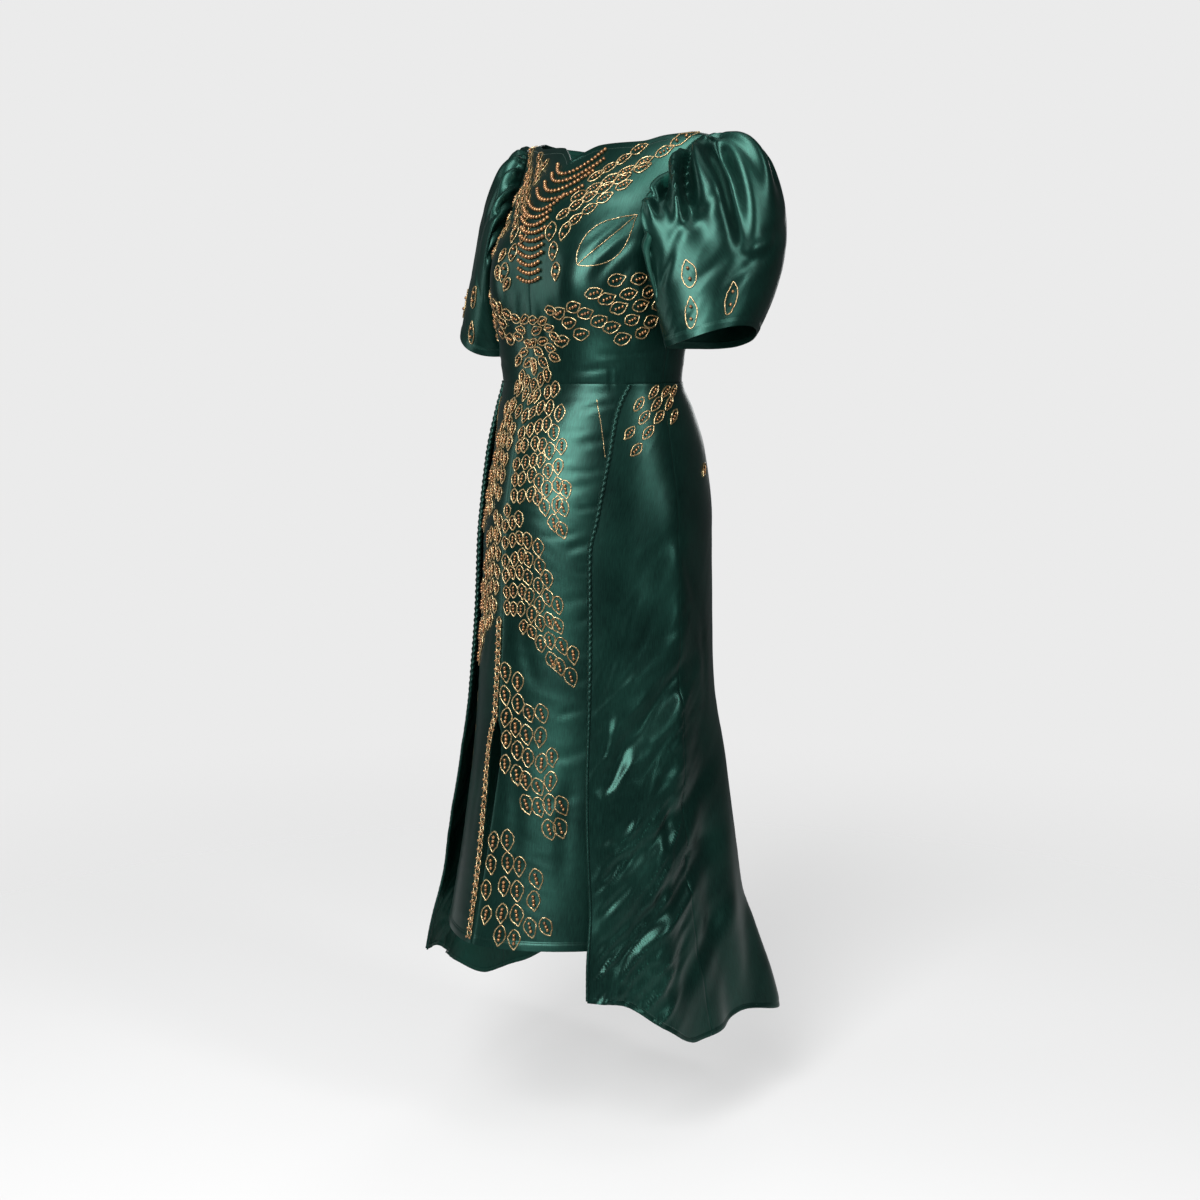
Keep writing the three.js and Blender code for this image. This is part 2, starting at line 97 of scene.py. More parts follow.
def add_node(tree, kind, inputs=None, **settings):
    """Adds a node. inputs are plain values, or sockets of other nodes to link from."""
    made = tree.nodes.new(kind)
    for name, value in settings.items():
        setattr(made, name, value)
    for socket, value in (inputs or {}).items():
        if isinstance(value, bpy.types.NodeSocket):
            tree.links.new(value, made.inputs[socket])
        else:
            made.inputs[socket].default_value = value
    return made


def new_material(name):
    """An empty node material and its tree"""
    material = bpy.data.materials.new(name)
    material.use_nodes = True
    material.node_tree.nodes.clear()
    return material, material.node_tree


# %% [markdown]
# Duchess satin in polyester: long floats lie on the face, side by side. To the eye the cloth is deep
# bottle green where it mirrors nothing, and brighter green where the floats mirror a lamp. Across the
# floats the mirror image is smeared, along the thread it is short, so a lamp makes a long soft band.
# The dye colours most of the reflection, and a thin clear skin on the fibres adds a grey one, which
# shows where the cloth turns away and on sharp crumples. The wrong side has no floats and is duller.
# Threads are 0.12 mm apart, which is too fine to show, so the streaks are drawn about 1 mm wide.

# %% Satin
STREAK_WIDE = 0.0011  # metres, about nine threads
STREAK_LONG = 0.016
SATIN_FACE = {"tones": ("#0e302a", "#204c42"), "roughness": 0.33, "metallic": 0.75, "clear": 0.15}
# The rolled edge is the face satin in darker, duller tones: painted shade for the shadow in its tight roll.
SATIN_ROLLED_SHADED = {"tones": ("#0c2b26", "#1a4239"), "roughness": 0.36, "metallic": 0.7, "clear": 0.1}
SATIN_WRONG_SIDE = {"tones": ("#123c33", "#1d5649"), "roughness": 0.55, "metallic": 0.3, "clear": 0.0}
CLEAR_ROUGHNESS = 0.3


def satin(name, look):
    material, tree = new_material(name)
    uv = add_node(tree, "ShaderNodeTexCoord").outputs["UV"]
    stretched = add_node(tree, "ShaderNodeMapping", {
        "Vector": uv, "Scale": (1 / STREAK_WIDE, 1 / STREAK_LONG, 1)})
    streaks = add_node(tree, "ShaderNodeTexNoise", {
        "Vector": stretched.outputs["Vector"], "Scale": 1.0, "Detail": 2.0, "Roughness": 0.6})
    clouds = add_node(tree, "ShaderNodeTexNoise", {"Vector": uv, "Scale": 9.0, "Detail": 3.0})
    mixed = add_node(tree, "ShaderNodeMath", {0: clouds.outputs["Fac"], 1: streaks.outputs["Fac"]},
                     operation="ADD")
    share = add_node(tree, "ShaderNodeMapRange", {
        "Value": mixed.outputs["Value"], "From Min": 0.7, "From Max": 1.3})
    colour = add_node(tree, "ShaderNodeMixRGB", {
        "Fac": share.outputs["Result"],
        "Color1": linear(look["tones"][0]), "Color2": linear(look["tones"][1])})
    gloss = add_node(tree, "ShaderNodeMapRange", {
        "Value": clouds.outputs["Fac"], "From Min": 0.3, "From Max": 0.7,
        "To Min": look["roughness"] - 0.03, "To Max": look["roughness"] + 0.04})
    bump = add_node(tree, "ShaderNodeBump", {
        "Height": streaks.outputs["Fac"], "Strength": 0.1, "Distance": 0.0005})
    tangent = add_node(tree, "ShaderNodeTangent", direction_type="UV_MAP", uv_map="cloth")
    shader = add_node(tree, "ShaderNodeBsdfPrincipled", {
        "Base Color": colour.outputs["Color"], "Metallic": look["metallic"],
        "Roughness": gloss.outputs["Result"], "Anisotropic": 0.6, "Anisotropic Rotation": 0.25,
        "Coat Weight": look["clear"], "Coat Roughness": CLEAR_ROUGHNESS, "Specular IOR Level": 0.3,
        "Sheen Weight": 0.04, "Sheen Roughness": 0.35, "Sheen Tint": linear("#9fc4bb"),
        "Normal": bump.outputs["Normal"], "Tangent": tangent.outputs["Tangent"]})
    add_node(tree, "ShaderNodeOutputMaterial", {"Surface": shader.outputs["BSDF"]})
    return material


satin_cloth = satin("duchess_satin_woven", SATIN_FACE)
# The rolled edge's satin is the face satin made darker: painted shade on the cord.
satin_fold_painted_shade = satin("duchess_satin_rolled_edge", SATIN_ROLLED_SHADED)
satin_inside = satin("duchess_satin_wrong_side", SATIN_WRONG_SIDE)
print("satin made")

# %% [markdown]
# The beads are of two kinds. Bugles are cut glass tubes with a silver lining, pale gold and glassy.
# The round ones are plated copper-gold, with a warmer and deeper colour. Thread is twisted polyester.

# %% Beads, thread and zip metal
def bead(name, tones, metallic, roughness, coat):
    material, tree = new_material(name)
    place = add_node(tree, "ShaderNodeTexCoord").outputs["Object"]
    cells = add_node(tree, "ShaderNodeTexVoronoi", {"Vector": place, "Scale": 240.0})
    colour = add_node(tree, "ShaderNodeMixRGB", {
        "Fac": cells.outputs["Color"], "Color1": linear(tones[0]), "Color2": linear(tones[1])})
    shader = add_node(tree, "ShaderNodeBsdfPrincipled", {
        "Base Color": colour.outputs["Color"], "Metallic": metallic, "Roughness": roughness,
        "Coat Weight": coat, "Coat Roughness": 0.08})
    add_node(tree, "ShaderNodeOutputMaterial", {"Surface": shader.outputs["BSDF"]})
    return material


def thread(name, tone):
    material, tree = new_material(name)
    place = add_node(tree, "ShaderNodeTexCoord").outputs["Object"]
    plies = add_node(tree, "ShaderNodeTexNoise", {"Vector": place, "Scale": 2500.0, "Detail": 1.0})
    bump = add_node(tree, "ShaderNodeBump", {
        "Height": plies.outputs["Fac"], "Strength": 0.4, "Distance": 0.0002})
    shader = add_node(tree, "ShaderNodeBsdfPrincipled", {
        "Base Color": linear(tone), "Roughness": 0.6, "Sheen Weight": 0.3,
        "Normal": bump.outputs["Normal"]})
    add_node(tree, "ShaderNodeOutputMaterial", {"Surface": shader.outputs["BSDF"]})
    return material


bugle_gold = bead("glass_bugle_silver_lined_gold", ("#e8cf9b", "#8f6c3e"), 0.75, 0.24, 0.7)
bead_copper = bead("bead_plated_copper_gold", ("#c69460", "#7a5334"), 0.8, 0.22, 0.7)
zip_brass = bead("brass_die_cast_plated", ("#b08d57", "#8f6f3e"), 1.0, 0.3, 0.0)
thread_green = thread("polyester_thread_twisted", "#0f3f33")
print("bead and thread materials made")

# %% [markdown]
# A sewn form is easiest to describe as sections at a few heights, as on a pattern cutter's stand.
# A short table is read with smooth curves between its rows that never overshoot them.
# A drop is the distance below the shoulder line. Round the body, 0 is the centre front, 1 the side
# seam and 2 the centre back, by length of cloth, and the wearer's right side has minus signs.

# %% Reading a table
def table(columns, rows):
    values = np.array(rows, float)
    keys = values[:, 0]
    steps = np.diff(values, axis=0) / np.diff(keys)[:, None]
    slopes = np.zeros_like(values)
    slopes[0], slopes[-1] = steps[0], steps[-1]
    product = steps[:-1] * steps[1:]
    total = steps[:-1] + steps[1:]
    slopes[1:-1] = np.where(product > 0, 2 * product / np.where(product > 0, total, 1), 0)

    def read(key):
        place = np.clip(np.asarray(key, float), keys[0], keys[-1])
        r = np.clip(np.searchsorted(keys, place, side="left") - 1, 0, len(keys) - 2)
        span = (keys[r + 1] - keys[r])[..., None]
        t = (place - keys[r])[..., None] / span
        found = (values[r] * (1 + 2 * t) * (1 - t) ** 2 + slopes[r] * span * t * (1 - t) ** 2
                 + values[r + 1] * t * t * (3 - 2 * t) + slopes[r + 1] * span * t * t * (t - 1))
        return {name: found[..., i] for i, name in enumerate(columns)}

    return read


def smooth(a, b, x):
    t = np.clip((x - a) / (b - a), 0, 1)
    return t * t * (3 - 2 * t)


def bell(x, centre, wide):
    return np.exp(-(((x - centre) / wide) ** 2))


# %% Sections of the fitted dress
CLOTH_THICK = 0.7
SEAM_GAP = 0.1
SHOULDER_NECK = -6
UNDERARM = 165
WAIST = 335
SLIT_TOP = 793
SHEATH_HEM = 1108
SECTION_COLUMNS = ["drop", "halfWidth", "mid", "front", "back", "frontRound", "backRound"]
BODY = table(SECTION_COLUMNS, [
    [-6, 145, 1, -12, 14, 1.6, 1.6],
    [0, 177, 0, -56, 58, 1.5, 1.6],
    [30, 178, -2, -91, 82, 1.5, 1.7],
    [90, 173, -8, -143, 95, 1.6, 2.0],
    [165, 160, -20, -167, 92, 2.2, 2.1],
    [206, 156, -35, -172, 80, 2.1, 2.1],
    [290, 142, -48, -164, 64, 2.2, 2.1],
    [335, 137, -50, -166, 60, 2.0, 2.1],
    [372, 142, -52, -182, 84, 1.8, 2.1],
    [434, 150, -55, -204, 104, 1.6, 2.1],
    [541, 158, -59, -223, 112, 1.6, 2.1],
    [632, 161, -62, -227, 102, 1.6, 2.1],
    [793, 164, -68, -238, 78, 1.6, 2.1],
    [979, 173, -88, -265, 52, 1.6, 2.1],
    [1108, 182, -108, -291, 38, 1.6, 2.1],
])
BUST = {"out": 82, "drop": 197, "height": 17, "wide": 42, "tall": 55}
FRONT_NECK = table(["share", "drop"], [
    [0, 30], [0.08, 19], [0.18, 10], [0.3, 8], [0.5, 7], [0.65, 0], [0.8, -3], [1, -6]])
BACK_NECK = table(["share", "drop"], [[0, 22], [0.3, 14], [0.6, 3], [0.8, -2], [1, -6]])
SLIT = table(["drop", "halfGap"], [
    [WAIST, SEAM_GAP], [SLIT_TOP, SEAM_GAP], [815, 7], [845, 10.5], [900, 8], [970, 5], [1040, 3],
    [SHEATH_HEM, 2]])

# %% Sections of the overskirt
OVERSKIRT = table([*SECTION_COLUMNS, "edge"], [
    [335, 139, -50, -168, 63, 2.0, 2.1, 124],
    [372, 147, -52, -184, 92, 1.9, 2.1, 121],
    [434, 158, -54, -206, 112, 1.7, 2.1, 119],
    [521, 170, -56, -222, 121, 1.6, 2.1, 114],
    [559, 172, -57, -226, 119, 1.6, 2.1, 110],
    [632, 174, -58, -230, 116, 1.6, 2.1, 112],
    [774, 179, -58, -240, 106, 1.7, 2.2, 119],
    [884, 186, -58, -250, 120, 1.9, 2.4, 128],
    [979, 192, -58, -256, 124, 2.2, 2.7, 140],
    [1045, 197, -55, -258, 123, 2.4, 3.0, 148],
    [1129, 205, -45, -275, 134, 2.8, 3.4, 160],
    [1250, 215, -30, -300, 160, 3.0, 4.0, 174],
])
OVERSKIRT_LIFT = 2.0
OVERSKIRT_FREE = 440
OVERSKIRT_HEM = table(["around", "drop"], [
    [0.5, 1169], [0.62, 1177], [0.78, 1220], [0.93, 1256], [1.08, 1254], [1.25, 1243], [1.5, 1262],
    [2, 1236]])
OVERSKIRT_FOLDS = [
    {"around": 0.8, "wide": 0.09, "height": 9, "from": 620},
    {"around": 1.16, "wide": 0.1, "height": -12, "from": 560},
    {"around": 1.5, "wide": 0.1, "height": 20, "from": 700},
    {"around": 1.72, "wide": 0.09, "height": -18, "from": 640},
    {"around": 1.93, "wide": 0.08, "height": 14, "from": 560},
]

# %% Points of a section
QUARTER_STEPS = 72


def quarters(sections, around, drop):
    """For each place: the x, y and running length of its quarter of the section"""
    row = sections(drop)
    place = np.abs(around)
    front = place <= 1
    end = np.where(front, row["front"], row["back"])[..., None]
    power = 2 / np.where(front, row["frontRound"], row["backRound"])[..., None]
    angle = np.linspace(0, math.pi / 2, QUARTER_STEPS + 1)
    mid = row["mid"][..., None]
    x = row["halfWidth"][..., None] * np.sin(angle) ** power
    y = mid + (end - mid) * np.clip(np.cos(angle), 0, 1) ** power
    steps = np.hypot(np.diff(x, axis=-1), np.diff(y, axis=-1))
    length = np.concatenate([np.zeros(steps.shape[:-1] + (1,)), np.cumsum(steps, axis=-1)], axis=-1)
    return x, y, length


def ring_point(sections, around, drop):
    """x, y and the length of the quarter, for places round the body and drops of the same shape"""
    around, drop = np.broadcast_arrays(np.asarray(around, float), np.asarray(drop, float))
    shape = around.shape
    around, drop = around.ravel(), drop.ravel()
    wrapped = np.where(np.abs(around) > 2, (4 - np.abs(around)) * -np.sign(around), around)
    x, y, length = quarters(sections, wrapped, drop)
    place = np.abs(wrapped)
    target = np.where(place <= 1, place, 2 - place) * length[:, -1]
    i = np.clip((length < target[:, None]).sum(axis=1), 1, QUARTER_STEPS)
    n = np.arange(len(i))
    t = (target - length[n, i - 1]) / (length[n, i] - length[n, i - 1])
    found_x = x[n, i - 1] + (x[n, i] - x[n, i - 1]) * t
    found_y = y[n, i - 1] + (y[n, i] - y[n, i - 1]) * t
    side = np.where(wrapped < 0, -1.0, 1.0)
    return (found_x * side).reshape(shape), found_y.reshape(shape), length[:, -1].reshape(shape)


def quarter_length(sections, around, drop):
    """The length of cloth in the front quarter, with around 0.5, or in the back one, with 1.5"""
    return ring_point(sections, np.full(np.shape(drop), around), drop)[2]


def cloth_mm(sections, around, drop):
    """Millimetres of cloth from the centre front, past the side seam and on round the back"""
    front, back = (quarter_length(sections, middle, drop) for middle in (0.5, 1.5))
    place = np.abs(around)
    return np.where(place <= 1, place * front, front + (place - 1) * back)


def place_at(sections, out, drop):
    """The place round the front that lies at a distance out from the centre"""
    out, drop = np.broadcast_arrays(np.asarray(out, float), np.asarray(drop, float))
    shape = drop.shape
    out, drop = out.ravel(), drop.ravel()
    x, _, length = quarters(sections, np.zeros_like(drop), drop)
    i = np.clip((x <= out[:, None]).sum(axis=1), 1, QUARTER_STEPS)
    n = np.arange(len(i))
    t = (out - x[n, i - 1]) / (x[n, i] - x[n, i - 1])
    found = (length[n, i - 1] + (length[n, i] - length[n, i - 1]) * t) / length[:, -1]
    return found.reshape(shape)


# %% [markdown]
# The two bare forms: the fitted dress, and the overskirt, which lies on the dress at the waist and
# hangs on its own sections below the hip. Each is a function from a place on the cloth to a point, so
# panels, hems and beads all ask the same function and always meet.

# %% The fitted form and the overskirt form
def outward(form, across, down, step_across=0.01, step_down=1.0):
    """The direction that points out of the cloth"""
    along_across = form(across + step_across, down) - form(across - step_across, down)
    along_down = form(across, down + step_down) - form(across, down - step_down)
    normal = np.cross(along_down, along_across)
    return normal / np.linalg.norm(normal, axis=-1, keepdims=True)


def body_form(around, drop):
    x, y, _ = ring_point(BODY, around, drop)
    around, drop = np.broadcast_arrays(around, drop)
    to_front = np.where(np.abs(around) < 1, np.cos(around * math.pi / 2), 0)
    bust = BUST["height"] * to_front * bell(np.abs(x), BUST["out"], BUST["wide"])
    return np.stack([x, y - bust * bell(drop, BUST["drop"], BUST["tall"]), -drop], axis=-1)


def overskirt_form(around, drop):
    around, drop = np.broadcast_arrays(np.asarray(around, float), np.asarray(drop, float))
    lying = body_form(around, drop) + outward(body_form, around, drop) * OVERSKIRT_LIFT
    x, y, _ = ring_point(OVERSKIRT, around, drop)
    out = np.stack([x, y - OVERSKIRT(drop)["mid"]], axis=-1)
    out /= np.linalg.norm(out, axis=-1, keepdims=True)
    place = np.abs(around)
    hem = OVERSKIRT_HEM(place)["drop"]
    fold = sum(f["height"] * bell(place, f["around"], f["wide"]) * smooth(f["from"], hem, drop)
               for f in OVERSKIRT_FOLDS)
    hanging = np.stack([x + out[..., 0] * fold, y + out[..., 1] * fold, -drop], axis=-1)
    return lying + (hanging - lying) * smooth(WAIST, OVERSKIRT_FREE, drop)[..., None]


# %% [markdown]
# A puff sleeve is a tube of cloth much wider than the arm, gathered into the armhole. Four lines of
# cloth, under, front, top and back, run from the armhole to the hem as curves, and the rest of the tube
# is worked out between them. Its pleats and folds are relief, raised square to this smooth tube.

# %% The sleeve form
ARMHOLE_CUT = 0.25
SLEEVE_LINES = {
    "under": {"leave": [24, 0, -20], "arrive": [14, 8, 45], "hem": [151, -30, -288]},
    "front": {"leave": [-26, -80, 14], "arrive": [-16, -6, 92], "hem": [205, -98, -279]},
    "top": {"leave": [66, 28, 27], "arrive": [30, 82, 146], "hem": [263, -30, -256]},
    "back": {"leave": [6, 80, 15], "arrive": [4, 92, 110], "hem": [205, 38, -282]},
}
PLEATS = {"count": 18, "height": 9, "full": 0.13, "gone": 0.72}
RIGHT_HEM_LOWER = 16
SLEEVE_FOLDS = [
    {"at": 72, "wide": 9, "height": -11, "from": 0.12, "to": 0.62},
    {"at": 113, "wide": 8, "height": -17, "from": 0.04, "to": 0.55},
    {"at": 150, "wide": 11, "height": -10, "from": 0.08, "to": 0.5},
    {"at": 212, "wide": 11, "height": -14, "from": 0.06, "to": 0.6},
    {"at": 258, "wide": 10, "height": -12, "from": 0.1, "to": 0.58},
]


def armhole_place(angle):
    """The armhole's edge: 0 under the arm, a half turn on the shoulder, and on round the back"""
    rise = (1 - np.cos(angle)) / 2
    return 1 - ARMHOLE_CUT * np.sin(angle), UNDERARM * (1 - rise)


def between_lines(name, angle):
    under, front, top, back = [np.array(SLEEVE_LINES[line][name], float)
                               for line in ("under", "front", "top", "back")]
    turn = np.asarray(angle)[..., None]
    mean = (under + front + top + back) / 4
    sideways = (under - top) / 2 * np.cos(turn) + (front - back) / 2 * np.sin(turn)
    return mean + sideways + (under - front + top - back) / 4 * np.cos(2 * turn)


def left_sleeve_form(angle, down, hem_lower=0.0):
    angle, down = np.broadcast_arrays(np.asarray(angle, float), np.asarray(down, float))
    start = body_form(*armhole_place(angle))
    hem = between_lines("hem", angle)
    hem[..., 2] -= hem_lower * np.clip(np.sin(angle + 0.5), 0, None)
    leaving = start + between_lines("leave", angle)
    arriving = hem + between_lines("arrive", angle)
    t = down[..., None]
    return (start * (1 - t) ** 3 + 3 * leaving * t * (1 - t) ** 2
            + 3 * arriving * t * t * (1 - t) + hem * t ** 3)


def right_sleeve_form(angle, down):
    """The mirror image of the left one, with its angle running the other way"""
    return left_sleeve_form(-np.asarray(angle, float), down, RIGHT_HEM_LOWER) * np.array([-1, 1, 1])


print("sleeve hem:", left_sleeve_form(math.pi / 2, 1.0).round(), "mm")

# %% [markdown]
# Creases. A crease in heavy satin is a soft trough with a low lip on one side, fading at both ends.
# The main ones are placed on the cloth, in millimetres across and down. A little seeded noise,
# stretched along the pull of the cloth, adds the small crumple between them.

# %% Creases and crumple
def crease(across, down, start, end, depth, wide, bow=0.0, lip=0.45):
    run = np.subtract(end, start)
    length = math.hypot(*run)
    unit = run / length
    t = ((across - start[0]) * unit[0] + (down - start[1]) * unit[1]) / length
    off = (down - start[1]) * unit[0] - (across - start[0]) * unit[1] - bow * 4 * t * (1 - t)
    taper = smooth(-0.02, 0.35, t) * (1 - smooth(0.6, 1.02, t))
    return taper * depth * (lip * bell(off, 1.8 * wide, 1.2 * wide) - bell(off, 0, wide))


def creases(across, down, rows, strength=1.0):
    return sum(crease(across, down, (x0, y0), (x1, y1), depth * strength, wide, bow)
               for x0, y0, x1, y1, depth, wide, bow in rows)


NOISE_SIZE = 64
RIDGE_ROUND = 0.03  # rounds the crest of a ridge
RIDGE_POWER = 2.5  # a higher power makes the ridges narrower


def soft_noise(x, y, seed):
    """Smooth seeded noise from -1 to 1, with features one unit wide"""
    lattice = np.random.default_rng(seed).uniform(-1, 1, (NOISE_SIZE, NOISE_SIZE))
    i, j = np.floor(x).astype(int), np.floor(y).astype(int)
    u, v = x - i, y - j
    u, v = u * u * u * (u * (u * 6 - 15) + 10), v * v * v * (v * (v * 6 - 15) + 10)

    def corner(a, b):
        return lattice[(i + a) % NOISE_SIZE, (j + b) % NOISE_SIZE]

    return ((corner(0, 0) * (1 - u) + corner(1, 0) * u) * (1 - v)
            + (corner(0, 1) * (1 - u) + corner(1, 1) * u) * v)


def crumple(across, down, turn, long, wide, seed):
    """Short ridges that run at an angle to the vertical, from 0 to 1"""
    turn = math.radians(turn)
    along = (down * math.cos(turn) + across * math.sin(turn)) / long
    beside = (across * math.cos(turn) - down * math.sin(turn)) / wide
    bend = 0.6 * soft_noise(along * 0.7 + 9, beside * 0.4 + 3, seed + 1)
    ridge = np.clip(1 - np.sqrt(soft_noise(along, beside + bend, seed) ** 2 + RIDGE_ROUND), 0, 1)
    return ridge ** RIDGE_POWER


def crumples(across, down, rows, right=0):
    """Several crumples together. Each row has its height, the level that counts as flat, angle, length,
    width and seed, and how far it is moved across on the right side."""
    return sum(height * (crumple(across + moved * right, down, turn, long, wide, seed) - flat)
               for height, flat, turn, long, wide, seed, moved in rows)


# The right side has the left's creases, moved by so many millimetres, so that they don't look mirrored
RIGHT_MOVED = {"dress": 9.0, "overskirt": 22.0, "sleeve": 14.0}

# %% [markdown]
# The pull of the cloth on each part. On the sheath, short level wrinkles run in from the overskirt's
# edge over the hip and thigh, and drag lines run from the armhole to the bust. The columns are:
# start across, start down, end across, end down, depth, width, bow.

# %% Relief of the sheath and bodice
SHEATH_CREASES = [
    (36, 352, 138, 343, 0.6, 5.0, 3), (74, 376, 146, 362, 0.8, 4.0, -4), (50, 399, 112, 396, 0.4, 4.0, 2),
    (82, 414, 150, 400, 0.7, 6.0, 5), (38, 441, 96, 436, 0.4, 4.0, -2), (72, 452, 148, 447, 0.6, 4.5, 4),
    (60, 487, 140, 472, 0.5, 6.5, -5), (96, 503, 150, 494, 0.7, 4.0, 3), (52, 540, 120, 531, 0.4, 5.0, 4),
    (84, 566, 150, 545, 0.6, 6.0, -4), (104, 588, 150, 586, 0.4, 4.0, 2), (80, 629, 146, 615, 0.5, 7.0, 4),
    (108, 660, 152, 645, 0.6, 5.0, -3), (88, 701, 134, 698, 0.3, 4.5, 2), (100, 741, 150, 722, 0.6, 6.5, 4),
    (84, 790, 138, 779, 0.5, 5.0, -4), (74, 848, 150, 823, 0.6, 8.0, 5), (64, 918, 140, 894, 0.5, 8.0, -4),
    (30, 640, 60, 760, 0.8, 10.0, 5), (24, 820, 50, 1010, 0.9, 12.0, -5), (118, 840, 126, 1040, 0.9, 12.0, 6),
]
BODICE_CREASES = [
    (150, 108, 96, 176, 1.7, 5.5, 5), (158, 132, 104, 204, 1.9, 6.0, 5), (166, 158, 122, 222, 1.5, 5.5, 4),
    (128, 96, 76, 152, 1.0, 5.0, -4), (172, 190, 140, 246, 1.1, 5.0, 3), (40, 204, 70, 300, 1.0, 9.0, 5),
    (16, 215, 22, 318, 1.1, 8.0, -3), (110, 250, 186, 232, 1.0, 6.0, 3), (60, 322, 140, 312, 1.1, 4.5, -2),
    (178, 92, 190, 262, 4.5, 12.0, 5), (90, 296, 172, 288, 1.0, 5.0, 2), (118, 274, 190, 262, 0.9, 5.0, 2),
    (44, 40, 96, 92, 0.8, 7.0, 4),
]
WAIST_DART = {"across": 118, "top": 292, "bottom": 335, "deep": 1.6, "wide": 1.6}
BACK_CREASES = [
    (8, 262, 96, 280, 0.9, 7.0, -5), (34, 292, 150, 300, 1.1, 6.0, -6), (6, 316, 84, 320, 0.8, 5.0, -4),
    (60, 232, 146, 250, 0.7, 8.0, 6), (150, 120, 90, 176, 1.2, 6.0, 4), (156, 150, 104, 206, 1.2, 6.0, 4),
    (24, 80, 40, 200, 0.9, 9.0, 5), (70, 60, 84, 170, 0.8, 9.0, -5),
]
DRESS_CRUMPLES = [(0.35, 0.4, 78, 62, 15, 5, 40), (0.25, 0.4, 64, 34, 9, 51, 15)]
SHEATH_STRENGTH = 1.35
RIGHT_STRENGTH = 0.85
WAIST_FADE = 12  # over so many millimetres the waist seam takes the creases up


def from_centre_mm(around, drop):
    """How far round the fitted dress a place is from its nearer centre line, in millimetres"""
    _, _, quarter = ring_point(BODY, around, drop)
    place = np.abs(around)
    return np.where(place <= 1, place, 2 - place) * quarter


def dress_flat(around, drop):
    """The UV of the fitted dress: millimetres round from the centre front, and the drop"""
    return np.sign(around) * cloth_mm(BODY, around, drop), -drop


def dress_relief(around, drop):
    around, drop = np.broadcast_arrays(np.asarray(around, float), np.asarray(drop, float))
    across = from_centre_mm(around, drop)
    right = around < 0
    back = np.abs(around) > 1
    strength = np.where(right, RIGHT_STRENGTH, 1.0)
    down = drop + RIGHT_MOVED["dress"] * right
    below_waist = smooth(WAIST, WAIST + WAIST_FADE, drop)
    above_waist = 1 - smooth(WAIST - WAIST_FADE, WAIST, drop)
    front_rows = creases(across, down, SHEATH_CREASES, SHEATH_STRENGTH) * below_waist
    front_rows += creases(across, down, BODICE_CREASES) * above_waist
    dart = WAIST_DART
    line = bell(across, dart["across"], dart["wide"]) * smooth(dart["top"], dart["bottom"], drop)
    front_rows -= dart["deep"] * line * (1 - smooth(dart["bottom"], dart["bottom"] + WAIST_FADE, drop))
    back_rows = creases(across, down, BACK_CREASES)
    fine = crumples(across, down, DRESS_CRUMPLES, right)
    fine *= smooth(20, 60, drop) * (0.35 + 0.65 * smooth(WAIST, WAIST + 40, drop))
    under_overskirt = smooth(0.72, 0.86, np.abs(around)) * smooth(WAIST - 4, WAIST + 6, drop)
    return (np.where(back, back_rows, front_rows) * strength + fine) * (1 - under_overskirt)


# %% [markdown]
# The overskirt hangs free. Above the knee it falls in soft upright swells. Lower down, towards the open
# edge, the cloth has been crushed, and its wrinkles run on the diagonal, from low at the edge up to the
# side seam. Behind the seam it is smooth again.

# %% Relief of the overskirt
OVERSKIRT_CREASES = [
    (138, 910, 336, 684, 6.0, 19, -14), (150, 1018, 392, 842, 5.0, 17, 12),
    (190, 1132, 420, 950, 6.0, 19, -12),
    (148, 770, 262, 592, 3.6, 15, 10), (290, 1206, 436, 1040, 4.0, 18, 10), (170, 640, 300, 500, 2.0, 16, -8),
    (141, 765, 168, 690, 2.0, 7, 6), (166, 700, 206, 590, 1.6, 9, -9), (160, 905, 194, 815, 2.4, 7, 8),
    (210, 815, 300, 705, 2.0, 8, -8), (178, 968, 250, 925, 2.4, 7, 8), (234, 993, 300, 905, 2.0, 7, -6),
    (226, 1086, 280, 1005, 3.0, 7, 6), (286, 1010, 380, 970, 1.8, 8, -8), (158, 862, 165, 776, 2.4, 6, 4),
    (228, 690, 286, 632, 1.4, 8, 7), (230, 788, 320, 745, 1.6, 8, -8), (214, 1160, 248, 1076, 3.0, 7, -6),
    (250, 1086, 330, 1016, 2.4, 8, 8), (268, 990, 263, 880, 1.8, 8, 6), (172, 1062, 226, 1012, 2.6, 6, -5),
    (250, 530, 312, 652, 1.2, 9, 6), (314, 640, 345, 812, 1.8, 11, -8), (286, 1198, 332, 1090, 2.0, 8, 6),
    (160, 1132, 186, 1070, 2.2, 6, 5), (238, 1204, 290, 1144, 2.2, 7, -5), (186, 1010, 212, 944, 1.8, 6, -4),
]
SWELLS = [
    # millimetres from the centre front, width, height, where it starts and where it is full
    (196, 22, -2.6, 430, 620), (246, 22, 3.0, 400, 580), (380, 30, 5.0, 520, 800), (450, 28, -5.0, 560, 840),
    (520, 30, 5.0, 520, 820), (590, 26, -5.0, 560, 860),
]
CRUSHED = [(6.5, 0.35, -44, 110, 27, 11, 0), (4.2, 0.35, -36, 60, 15, 23, 0), (2.2, 0.35, -54, 36, 9, 77, 0)]
CRUSHED_DROP = (620, 960)  # it starts at the first and is full at the second
CRUSHED_ACROSS = (270, 370)  # it is full up to the first and gone at the second
RIPPLE = [(0.5, 0.4, -24, 130, 22, 31, 0)]
OVERSKIRT_STRENGTH = 0.9
EDGE_STIFF = 26.0  # millimetres beside the rolled edge that it holds flat
EDGE_GIVES = 0.12  # the share of the relief left at the edge itself


def overskirt_edge(drop):
    """The place round the body where the open front edge lies"""
    return place_at(OVERSKIRT, OVERSKIRT(drop)["edge"], drop)


